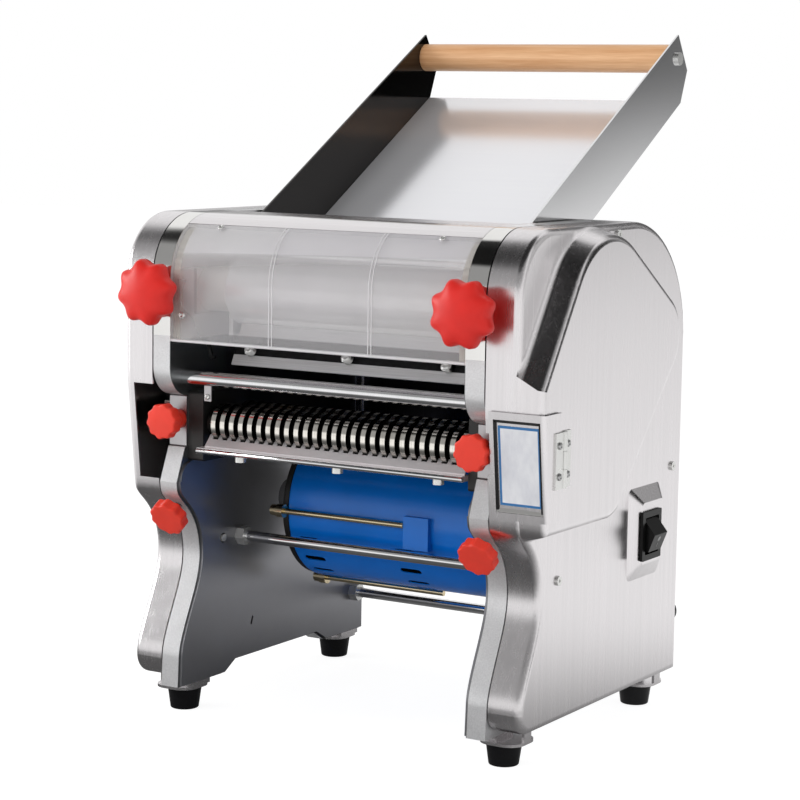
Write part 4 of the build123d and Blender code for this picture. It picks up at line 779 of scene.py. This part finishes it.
def make_bar_tab():
    """Small tab that hangs from the bar in front, with its screw."""
    low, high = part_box("front_bar")
    x, y = -0.1127, (low.y + high.y) / 2
    tab_z, screw_z = low.z - 0.0048, low.z - 0.0078
    wide, thick, tall = 0.0064, 0.0016, 0.0125
    tab, screw = bmesh.new(), bmesh.new()
    slab(tab, (x, y, tab_z), (wide, thick, tall))
    pan_head(screw, (x, y - thick / 2, screw_z), AHEAD, radius=0.0022, height=0.0013)
    add_piece("bar_tab", tab, satin_block(), "machine", smooth=False)
    add_piece("bar_tab_screw", screw, zinc_plate(), "machine")


def make_panel_edges():
    """Flanges folded forwards at both sides of the rear panel, up against the frames."""
    low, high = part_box("rear_cover")
    left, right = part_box("side_frame_left")[1].x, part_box("side_frame_right")[0].x
    middle_y, middle_z = (low.y + high.y) / 2, (low.z + high.z) / 2
    sheet, deep, tall = 0.0012, high.y - low.y, high.z - low.z
    work = bmesh.new()
    for frame_x, panel_x in ((left, low.x), (right, high.x)):
        inwards = 1 if panel_x > frame_x else -1
        wide = abs(panel_x - frame_x) + sheet
        slab(work, (frame_x + inwards * wide / 2, high.y - sheet / 2, middle_z), (wide, sheet, tall))
        slab(work, (frame_x + inwards * sheet / 2, middle_y, middle_z), (sheet, deep, tall))
    add_piece("rear_cover_flanges", work, stainless_upright(), "machine", smooth=False)


# ---- Rollers, cutters and drive --------------------------------------------------
class PASTA_OT_rollers(bpy.types.Operator):
    """Finish the dough rollers, their bearings and scrapers"""
    bl_idname = "pasta.rollers"
    bl_label = "Dough rollers"
    bl_options = {"REGISTER", "UNDO"}

    def execute(self, context):
        dress(satin_roller(), "front_roller", "rear_roller")
        dress(pale_block(), "bearing_blocks")
        dress(brass(), "bearing_bushes")
        dress(scraper_steel(), "scraper_front")
        dress(zinc_plate(), "scraper_rear")
        make_springs()
        make_hook()
        return {"FINISHED"}


def make_springs():
    """Springs on the front scraper's screws, each under a screw head."""
    out = Vector((0, -0.907, 0.422)).normalized()
    seat_y, seat_z = -0.1307, 0.2724
    turns, first, pitch, head_out = 4, 0.0006, 0.0011, 0.0041
    inner, outer, wire = 0.0036, 0.0042, 0.0005
    coils, heads = bmesh.new(), bmesh.new()
    for x in (-0.085, -0.0022, 0.0789):
        seat = Vector((x, seat_y, seat_z))
        for turn in range(turns):
            ring = seat + out * (first + pitch * turn)
            turn_profile(coils, ring, ring + out, [(inner, 0.0), (outer, wire / 2), (inner, wire)])
        pan_head(heads, seat + out * head_out, out, radius=0.0034, height=0.0016)
    add_piece("scraper_springs", coils, zinc_plate(), "front_carriage")
    add_piece("scraper_spring_screws", heads, zinc_plate(), "front_carriage")


def make_hook():
    """Black hook beside the scraper's left end, on the frame."""
    wall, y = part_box("side_frame_left")[1].x, -0.136
    bends = ((wall, 0.2787), (-0.1205, 0.2787), (-0.1163, 0.2659), (-0.1135, 0.2675))
    points = [(x, y, z) for x, z in bends]
    work = bmesh.new()
    for start, end in zip(points, points[1:]):
        rod(work, start, end, radius=0.0015)
    add_piece("scraper_hook", work, black_moulding(), "machine")


class PASTA_OT_cutters(bpy.types.Operator):
    """Finish the noodle cutters and their unit"""
    bl_idname = "pasta.cutters"
    bl_label = "Cutters"
    bl_options = {"REGISTER", "UNDO"}

    def execute(self, context):
        for node in ("cutter_roller_front", "cutter_roller_rear"):
            dress(tool_steel(node), node)
        dress(blackened_steel(), "cutter_end_plates")
        dress(satin_block(), "cutter_blocks")
        dress(comb_plate(), "cutter_combs")
        make_comb_rail()
        return {"FINISHED"}


def make_comb_rail():
    """Round bright rail along the front comb's lip."""
    low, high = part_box("cutter_combs")
    radius, sunk = 0.0019, 0.0003
    y, z = low.y + sunk, low.z + radius
    work = bmesh.new()
    rod(work, (low.x, y, z), (high.x, y, z), radius)
    add_piece("comb_rail", work, chrome(), "machine")


class PASTA_OT_drive(bpy.types.Operator):
    """Finish the gears, belt and pulleys"""
    bl_idname = "pasta.drive"
    bl_label = "Drive train"
    bl_options = {"REGISTER", "UNDO"}

    def execute(self, context):
        dress(machined_steel(), "roller_drive_gears", "idler_gear", "idler_pin", "cutter_gear",
              "countershaft", "long_gear_front", "long_gear_rear", "motor_rotor",
              "thickness_spindle_left", "thickness_spindle_right")
        dress(grey_casting(), "drive_pulley", "motor_pulley")
        dress(black_rubber(), "drive_belt")
        return {"FINISHED"}


class PASTA_OT_motor(bpy.types.Operator):
    """Finish the motor and its cradle"""
    bl_idname = "pasta.motor"
    bl_label = "Motor"
    bl_options = {"REGISTER", "UNDO"}

    def execute(self, context):
        dress(motor_enamel(), "motor_body")
        dress(blackened_steel(), "motor_end_bells", "motor_cradle")
        dress(brass(), "motor_bolts")
        return {"FINISHED"}


# ---- Guard -----------------------------------------------------------------------
class PASTA_OT_guard(bpy.types.Operator):
    """Finish the clear guard and its end strips"""
    bl_idname = "pasta.guard"
    bl_label = "Guard"
    bl_options = {"REGISTER", "UNDO"}

    def execute(self, context):
        dress(clear_sheet("clear_sheet", paints().guard_haze), "guard")
        dress(cream_moulding(), "guard_ends")
        make_guard_ribs()
        make_guard_screws()
        return {"FINISHED"}


def guard_round(angle):
    """Place on the guard's round corner so many degrees above the front, and its outwards direction."""
    centre, radius = Vector((0, -0.1171, 0.324)), 0.046
    out = Vector((0, -math.cos(math.radians(angle)), math.sin(math.radians(angle))))
    return centre + out * radius, out


def make_guard_ribs():
    """Pairs of fine ribs over the guard's front and round its corner, and its rolled lower edge."""
    low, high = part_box("guard")
    foot, apart, last_angle, edge = 0.0004, 0.0026, 57, 0.001
    path = [(Vector((0, low.y, low.z + foot)), AHEAD)]
    path += [guard_round(angle) for angle in range(0, last_angle + 1, 3)]
    work = bmesh.new()
    for pair_x in (-0.047, 0.035):
        for x in (pair_x - apart / 2, pair_x + apart / 2):
            band(work, path, x, width=0.0005, height=0.0004)
    rod(work, (low.x, low.y + edge, low.z + edge), (high.x, low.y + edge, low.z + edge), radius=0.0012)
    finish = clear_sheet("clear_edge", 0.7)
    add_piece("guard_ribs", work, finish, "machine", smooth=False)


def make_guard_screws():
    """Screws that hold the guard at its left end and on its round corner."""
    front_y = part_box("guard")[0].y
    place, out = guard_round(54)
    work = bmesh.new()
    pan_head(work, (-0.1232, front_y, 0.2985), AHEAD, radius=0.0026, height=0.0014)
    for x in (-0.1032, 0.0802):
        pan_head(work, place + Vector((x, 0, 0)), out, radius=0.0023, height=0.0012)
    add_piece("guard_screws", work, zinc_plate(), "machine")


# ---- Service door and switch -----------------------------------------------------
class PASTA_OT_door(bpy.types.Operator):
    """Finish the service door, its hinge and plain label"""
    bl_idname = "pasta.door"
    bl_label = "Service door"
    bl_options = {"REGISTER", "UNDO"}

    def execute(self, context):
        dress(stainless_upright(), "service_door")
        dress(zinc_plate(), "hinge_leaf_door", "hinge_leaf_cover")
        dress(label_film(), "door_label")
        make_recess_shade_and_sill()
        make_hinge_screws()
        return {"FINISHED"}


def door_front(x, z, out):
    """Place on the leaning front of the door, so far out from the line of the guard's front."""
    top_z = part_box("service_door")[1].z
    return Vector((x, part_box("guard")[0].y - out + DOOR_LEAN * (top_z - z), z))


def make_recess_shade_and_sill():
    """Black strips of painted shade round the sunk panel, with a bright sill under it."""
    lean = math.atan(DOOR_LEAN)
    left, right, low, high = 0.1333, 0.1686, 0.1822, 0.2448
    middle_x, middle_z = (left + right) / 2, (low + high) / 2
    wide, narrow, thick, out = 0.0018, 0.0016, 0.001, 0.0015
    turn = Matrix.Rotation(lean, 4, "X")
    # painted shade: black strips where the recess's side and top walls are in shade
    recess_shade = bmesh.new()
    for x, across in ((left + wide / 2, wide), (right - narrow / 2, narrow)):
        slab(recess_shade, door_front(x, middle_z, out), (across, thick, high - low), turn)
    slab(recess_shade, door_front(middle_x, high - wide / 2, out), (right - left, thick, wide), turn)
    add_piece("door_painted_shade", recess_shade, black_rubber(), "door_body", smooth=False)

    up, out, thick, tall, slope = 0.0014, 0.0014, 0.0009, 0.0032, 0.6
    turn = Matrix.Rotation(lean - slope, 4, "X")
    sill = bmesh.new()
    slab(sill, door_front(middle_x, low + up, out), (right - left, thick, tall), turn)
    add_piece("door_sill", sill, mirror_cap(), "door_body", smooth=False)


def make_hinge_screws():
    """Two round-headed screws on each leaf of the hinge."""
    from_end, radius = 0.0086, 0.0025
    for node, body, face_x, y, height in (("hinge_leaf_door", "door_body", 0.1734, -0.1454, 0.0014),
                                          ("hinge_leaf_cover", "machine", 0.1709, -0.1296, 0.0018)):
        low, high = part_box(node)
        work = bmesh.new()
        for z in (low.z + from_end, high.z - from_end):
            pan_head(work, (face_x, y, z), (1, 0, 0), radius, height)
        add_piece(f"{node}_screws", work, machined_steel(), body)


class PASTA_OT_switch(bpy.types.Operator):
    """Finish the rocker switch"""
    bl_idname = "pasta.switch"
    bl_label = "Switch"
    bl_options = {"REGISTER", "UNDO"}

    def execute(self, context):
        dress(black_moulding(), "switch_bezel", "switch_rocker")
        make_switch_marks()
        return {"FINISHED"}


def make_switch_marks():
    """Raised ring and bar on the rocker's lower face."""
    out = Vector((0.932, 0, -0.363)).normalized()
    top_x, top_z, slope = 0.16693, 0.1415, 0.388
    axis_y = JOINTS["rocker_switch_tilt"]["pos_m"][1]

    def on_face(z):
        return Vector((top_x - (top_z - z) * slope, axis_y, z))

    outer, inner, raised, sunk = 0.002, 0.00155, 0.00012, 0.0001
    profile = [(outer, 0.0), (outer, raised), (inner, raised), (inner, -sunk)]
    ring, bar, bar_size = on_face(0.1392), on_face(0.1345), (0.0003, 0.0005, 0.0032)
    work = bmesh.new()
    turn_profile(work, ring, ring + out, profile)
    slab(work, bar, bar_size, out.to_track_quat("X", "Z").to_matrix().to_4x4())
    add_piece("rocker_marks", work, pale_marks(), "rocker_body", smooth=False)


# ---- Tray and knobs --------------------------------------------------------------
class PASTA_OT_tray(bpy.types.Operator):
    """Finish the feed tray and its wooden roller"""
    bl_idname = "pasta.tray"
    bl_label = "Feed tray"
    bl_options = {"REGISTER", "UNDO"}

    def execute(self, context):
        dress(tray_sheet(), "feed_tray")
        dress(beech(), "wooden_roller")
        return {"FINISHED"}


# A knob's rings: depth behind its face, share of its radius, share of its lobes' depth.
LARGE_KNOB = ((0.0160, 0.93, 1.0), (0.0152, 0.985, 1.0), (0.0138, 1.0, 1.0), (0.0088, 1.0, 1.0),
              (0.0068, 0.975, 1.0), (0.0052, 0.92, 0.92), (0.0036, 0.81, 0.65), (0.0022, 0.64, 0.3),
              (0.0011, 0.45, 0.1), (0.0004, 0.27, 0.0), (0.0, 0.08, 0.0))
SMALL_KNOB = ((0.009, 0.93, 1.0), (0.0084, 0.985, 1.0), (0.0076, 1.0, 1.0), (0.0012, 1.0, 1.0),
              (0.0005, 0.98, 1.0), (0.0001, 0.94, 0.9), (0.0, 0.88, 0.8), (0.0, 0.4, 0.0))


def lobed(radius, depth, lobes, height, turn):
    """Ring of a star knob: rounded lobes with wide valleys between them."""
    steps = 12 * lobes
    ring = []
    for step in range(steps):
        angle = 2 * math.pi * step / steps
        swell = ((1 + math.cos(lobes * angle)) / 2) ** 1.15
        out = radius - depth * (1 - swell)
        ring.append(Vector((out * math.cos(angle + turn), out * math.sin(angle + turn), height)))
    return ring


def make_knob(node, finish, profile, radius, lobes, lobe_depth, neck_radius, neck_end, face_out, turn):
    """Star knob with its face so far out along its joint's axis, and a neck behind its face."""
    joint = JOINTS[node + "_turn"]
    outwards = Vector(joint["axis"])
    work = bmesh.new()
    skin_rings(work, [lobed(radius * share, lobe_depth * fade * share, lobes, -behind, turn)
                      for behind, share, fade in profile])
    edge, root = 0.0004, profile[0][0] - 0.0005
    neck = ((neck_radius - edge, neck_end), (neck_radius, neck_end - edge), (neck_radius, root))
    skin_rings(work, [circle(ring_radius, -behind) for ring_radius, behind in neck])
    work.transform(facing(Vector(joint["pos_m"]) + outwards * face_out, outwards))
    made = add_piece(node + "_skin", work, finish, joint["child"])
    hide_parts(node)


class PASTA_OT_thickness_knobs(bpy.types.Operator):
    """Make the large domed knobs that set the dough's thickness"""
    bl_idname = "pasta.thickness_knobs"
    bl_label = "Thickness knobs"
    bl_options = {"REGISTER", "UNDO"}

    def execute(self, context):
        lobes, lobe_depth = knobs().large_lobes, knobs().large_lobe_depth
        for side, turn in (("left", 0.2), ("right", 0.35)):
            make_knob(f"thickness_knob_{side}", large_knob_red(), LARGE_KNOB, 0.0239, lobes, lobe_depth,
                      neck_radius=0.009, neck_end=0.0282, face_out=0.0, turn=turn)
        return {"FINISHED"}


class PASTA_OT_small_knobs(bpy.types.Operator):
    """Make the flat knobs that clamp the cutters and the lower pair"""
    bl_idname = "pasta.small_knobs"
    bl_label = "Small knobs"
    bl_options = {"REGISTER", "UNDO"}

    def execute(self, context):
        lobes, lobe_depth = knobs().small_lobes, knobs().small_lobe_depth
        for side in ("left", "right"):
            for kind, radius, face_out, neck_end in (("cutter", 0.0131, 0.0, 0.0225),
                                                     ("lower", 0.0141, 0.022, 0.0125)):
                make_knob(f"{kind}_knob_{side}", small_knob_red(), SMALL_KNOB, radius, lobes, lobe_depth,
                          neck_radius=0.007, neck_end=neck_end, face_out=face_out, turn=0.15)
        return {"FINISHED"}


# ---- Stage -----------------------------------------------------------------------
class PASTA_OT_stage(bpy.types.Operator):
    """Set the floor, the room's light and the camera"""
    bl_idname = "pasta.stage"
    bl_label = "Stage"
    bl_options = {"REGISTER", "UNDO"}

    def execute(self, context):
        make_floor()
        make_room()
        make_lamps()
        make_camera()
        return {"FINISHED"}


def ray(start, kind):
    """1 for rays of a kind, and 0 for others."""
    return start.node("ShaderNodeLightPath", output=f"Is {kind} Ray")


def seen(start):
    """1 for what the camera sees, straight or through clear pieces."""
    return start.maths("MAXIMUM", ray(start, "Camera"), ray(start, "Transmission"))


def make_floor():
    """White floor that keeps the shadow; in what the metal mirrors it has a painted shadow that dims it
    towards the machine.
    """
    half_width, below_feet, painted_shadow_spot = 6.0, 0.0002, (-0.15, -0.2, 0.0)
    work = bmesh.new()
    bmesh.ops.create_grid(work, x_segments=8, y_segments=8, size=half_width)
    floor = bpy.data.objects.new("floor", mesh_from("floor", work))
    floor.location.z = FLOOR_Z - below_feet
    bpy.context.scene.collection.objects.link(floor)

    paint = bpy.data.materials.new("floor_white")
    paint.use_nodes = True
    tree = paint.node_tree
    tree.nodes.clear()
    start = Wire(tree)
    places = {0: start.place(), 1: painted_shadow_spot}
    away = start.node("ShaderNodeVectorMath", {"operation": "DISTANCE"}, places, output="Value")
    # painted shadow: in what the metal mirrors, the floor dims towards the machine
    mirrored = away.between(0.2, 0.75, smooth=True) * 0.9 + 0.06
    glow = seen(start) * 0.9 + ray(start, "Glossy") * mirrored
    plain, faint, dim = (start.node("ShaderNodeBsdfDiffuse", inputs={"Color": (level, level, level, 1.0)})
                         for level in (0.8, 0.3, 0.06))
    lit = start.node("ShaderNodeMixShader", inputs={0: seen(start), 1: plain, 2: faint})
    lit = start.node("ShaderNodeMixShader", inputs={0: ray(start, "Glossy"), 1: lit, 2: dim})
    light = start.node("ShaderNodeEmission", inputs={"Color": (1.0, 1.0, 1.0, 1.0), "Strength": glow})
    whole = start.node("ShaderNodeAddShader", inputs={0: lit, 1: light})
    end = tree.nodes.new("ShaderNodeOutputMaterial")
    tree.links.new(whole.socket, end.inputs["Surface"])
    floor.data.materials.append(paint)


def dark_parts(start):
    """Dark parts of the room that the metal mirrors: where each stands, and how dark it is."""
    way = start.node("ShaderNodeTexCoord", output="Generated")
    x, y, z = (start.node("ShaderNodeSeparateXYZ", inputs={0: way}, output=axis) for axis in range(3))
    ceiling = (z * 0.98 - y * 0.2).between(0.755, 0.795)
    front_wall = z.between(0.18, 0.27) * (1 - y.between(-0.15, 0.2, smooth=True))
    right_screen = x.between(0.43, 0.5) * y.between(0.2, 0.35) * z.between(-0.07, -0.03)
    right_shade = x.between(0.3, 0.4) * y.between(0.2, 0.5) * z.between(-0.05, 0.02, smooth=True)
    right_shade = right_shade * (1 - z.between(0.35, 0.5))
    back_screen = x.window((-0.33, -0.25), (0.25, 0.33)) * y.between(0.75, 0.82) * z.between(-0.05, 0.0)
    left_screen = (1 - x.between(-0.4, -0.3)) * y.between(0.6, 0.7) * z.window((-0.03, 0.0), (0.14, 0.2))
    return ((ceiling, 0.97), (front_wall, 0.65), (right_screen, 0.98), (right_shade, 0.85),
            (back_screen, 0.9), (left_screen, 0.7))


def make_room():
    """White room in which the metal mirrors a dark ceiling, a grey front wall and dark screens."""
    world = bpy.data.worlds.new("white_room")
    bpy.context.scene.world = world
    world.use_nodes = True
    tree = world.node_tree
    back = tree.nodes["Background"]
    start = Wire(tree)
    mirrored = 0.95
    for part, darkness in dark_parts(start):
        mirrored = (1 - part * darkness) * mirrored
    glossy = ray(start, "Glossy")
    plain = (1 - seen(start)) * (1 - glossy) * stage().room_level
    back.inputs["Color"].default_value = (1.0, 1.0, 1.0, 1.0)
    tree.links.new((seen(start) + glossy * mirrored + plain).socket, back.inputs["Strength"])


def make_lamps():
    """Soft lamps at the left and in front, and a weaker one on the right."""
    target = (CAD_BOX[0] + CAD_BOX[1]) / 2
    for name, spot, size, power in (("key", (-1.9, -0.95, 0.7), 0.9, stage().key_power),
                                    ("front", (-0.5, -2.3, 1.5), 1.2, stage().front_power),
                                    ("fill", (1.9, -0.7, 1.2), 1.2, stage().fill_power)):
        data = bpy.data.lights.new(name, "AREA")
        data.shape = "DISK"
        data.size = size
        data.energy = power
        lamp = bpy.data.objects.new(name, data)
        lamp.location = Vector(spot)
        lamp.visible_glossy = name == "key"
        lamp.rotation_mode = "QUATERNION"
        lamp.rotation_quaternion = (target - Vector(spot)).to_track_quat("-Z", "Y")
        bpy.context.scene.collection.objects.link(lamp)


def make_camera():
    """The camera stands to the right of the front and looks slightly down."""
    data = bpy.data.cameras.new("camera")
    data.sensor_width = 36.0
    data.lens = stage().focal_length
    data.clip_start, data.clip_end = 0.05, 50.0
    camera = bpy.data.objects.new("camera", data)
    place = Matrix.Translation((0.891695, -1.531847, 0.453860))
    yaw, pitch, roll = 0.5460035, 0.1254493, -0.0158888
    turn = Matrix.Rotation(yaw, 4, "Z") @ Matrix.Rotation(-pitch, 4, "X") @ Matrix.Rotation(roll, 4, "Y")
    level = Matrix.Rotation(math.pi / 2, 4, "X")
    camera.matrix_world = place @ turn @ level
    bpy.context.scene.collection.objects.link(camera)
    bpy.context.scene.camera = camera


# ---- Add-on ----------------------------------------------------------------------
SETTINGS = (("pasta_metals", PastaMetals), ("pasta_paints", PastaPaints), ("pasta_knobs", PastaKnobs),
            ("pasta_stage", PastaStage))
OPERATORS = (PASTA_OT_covers, PASTA_OT_frames, PASTA_OT_rollers, PASTA_OT_cutters, PASTA_OT_drive,
             PASTA_OT_motor, PASTA_OT_guard, PASTA_OT_door, PASTA_OT_switch, PASTA_OT_tray,
             PASTA_OT_thickness_knobs, PASTA_OT_small_knobs, PASTA_OT_stage)


class PASTA_PT_panel(bpy.types.Panel):
    """Lists the pasta maker's settings and pieces"""
    bl_idname = "PASTA_PT_panel"
    bl_label = "Pasta Maker"
    bl_space_type = "VIEW_3D"
    bl_region_type = "UI"
    bl_category = "Pasta Maker"

    def draw(self, context):
        for name, group in SETTINGS:
            box = self.layout.box()
            for setting in group.__annotations__:
                box.prop(getattr(context.scene, name), setting)
        for operator in OPERATORS:
            self.layout.operator(operator.bl_idname)


def register():
    for name, group in SETTINGS:
        bpy.utils.register_class(group)
        setattr(bpy.types.Scene, name, PointerProperty(type=group))
    for operator in OPERATORS:
        bpy.utils.register_class(operator)
    bpy.utils.register_class(PASTA_PT_panel)


def unregister():
    bpy.utils.unregister_class(PASTA_PT_panel)
    for operator in reversed(OPERATORS):
        bpy.utils.unregister_class(operator)
    for name, group in reversed(SETTINGS):
        delattr(bpy.types.Scene, name)
        bpy.utils.unregister_class(group)


def main():
    bpy.context.scene.view_settings.view_transform = "Standard"
    register()
    for operator in OPERATORS:
        group, action = operator.bl_idname.split(".")
        getattr(getattr(bpy.ops, group), action)()


if __name__ == "__main__":
    main()
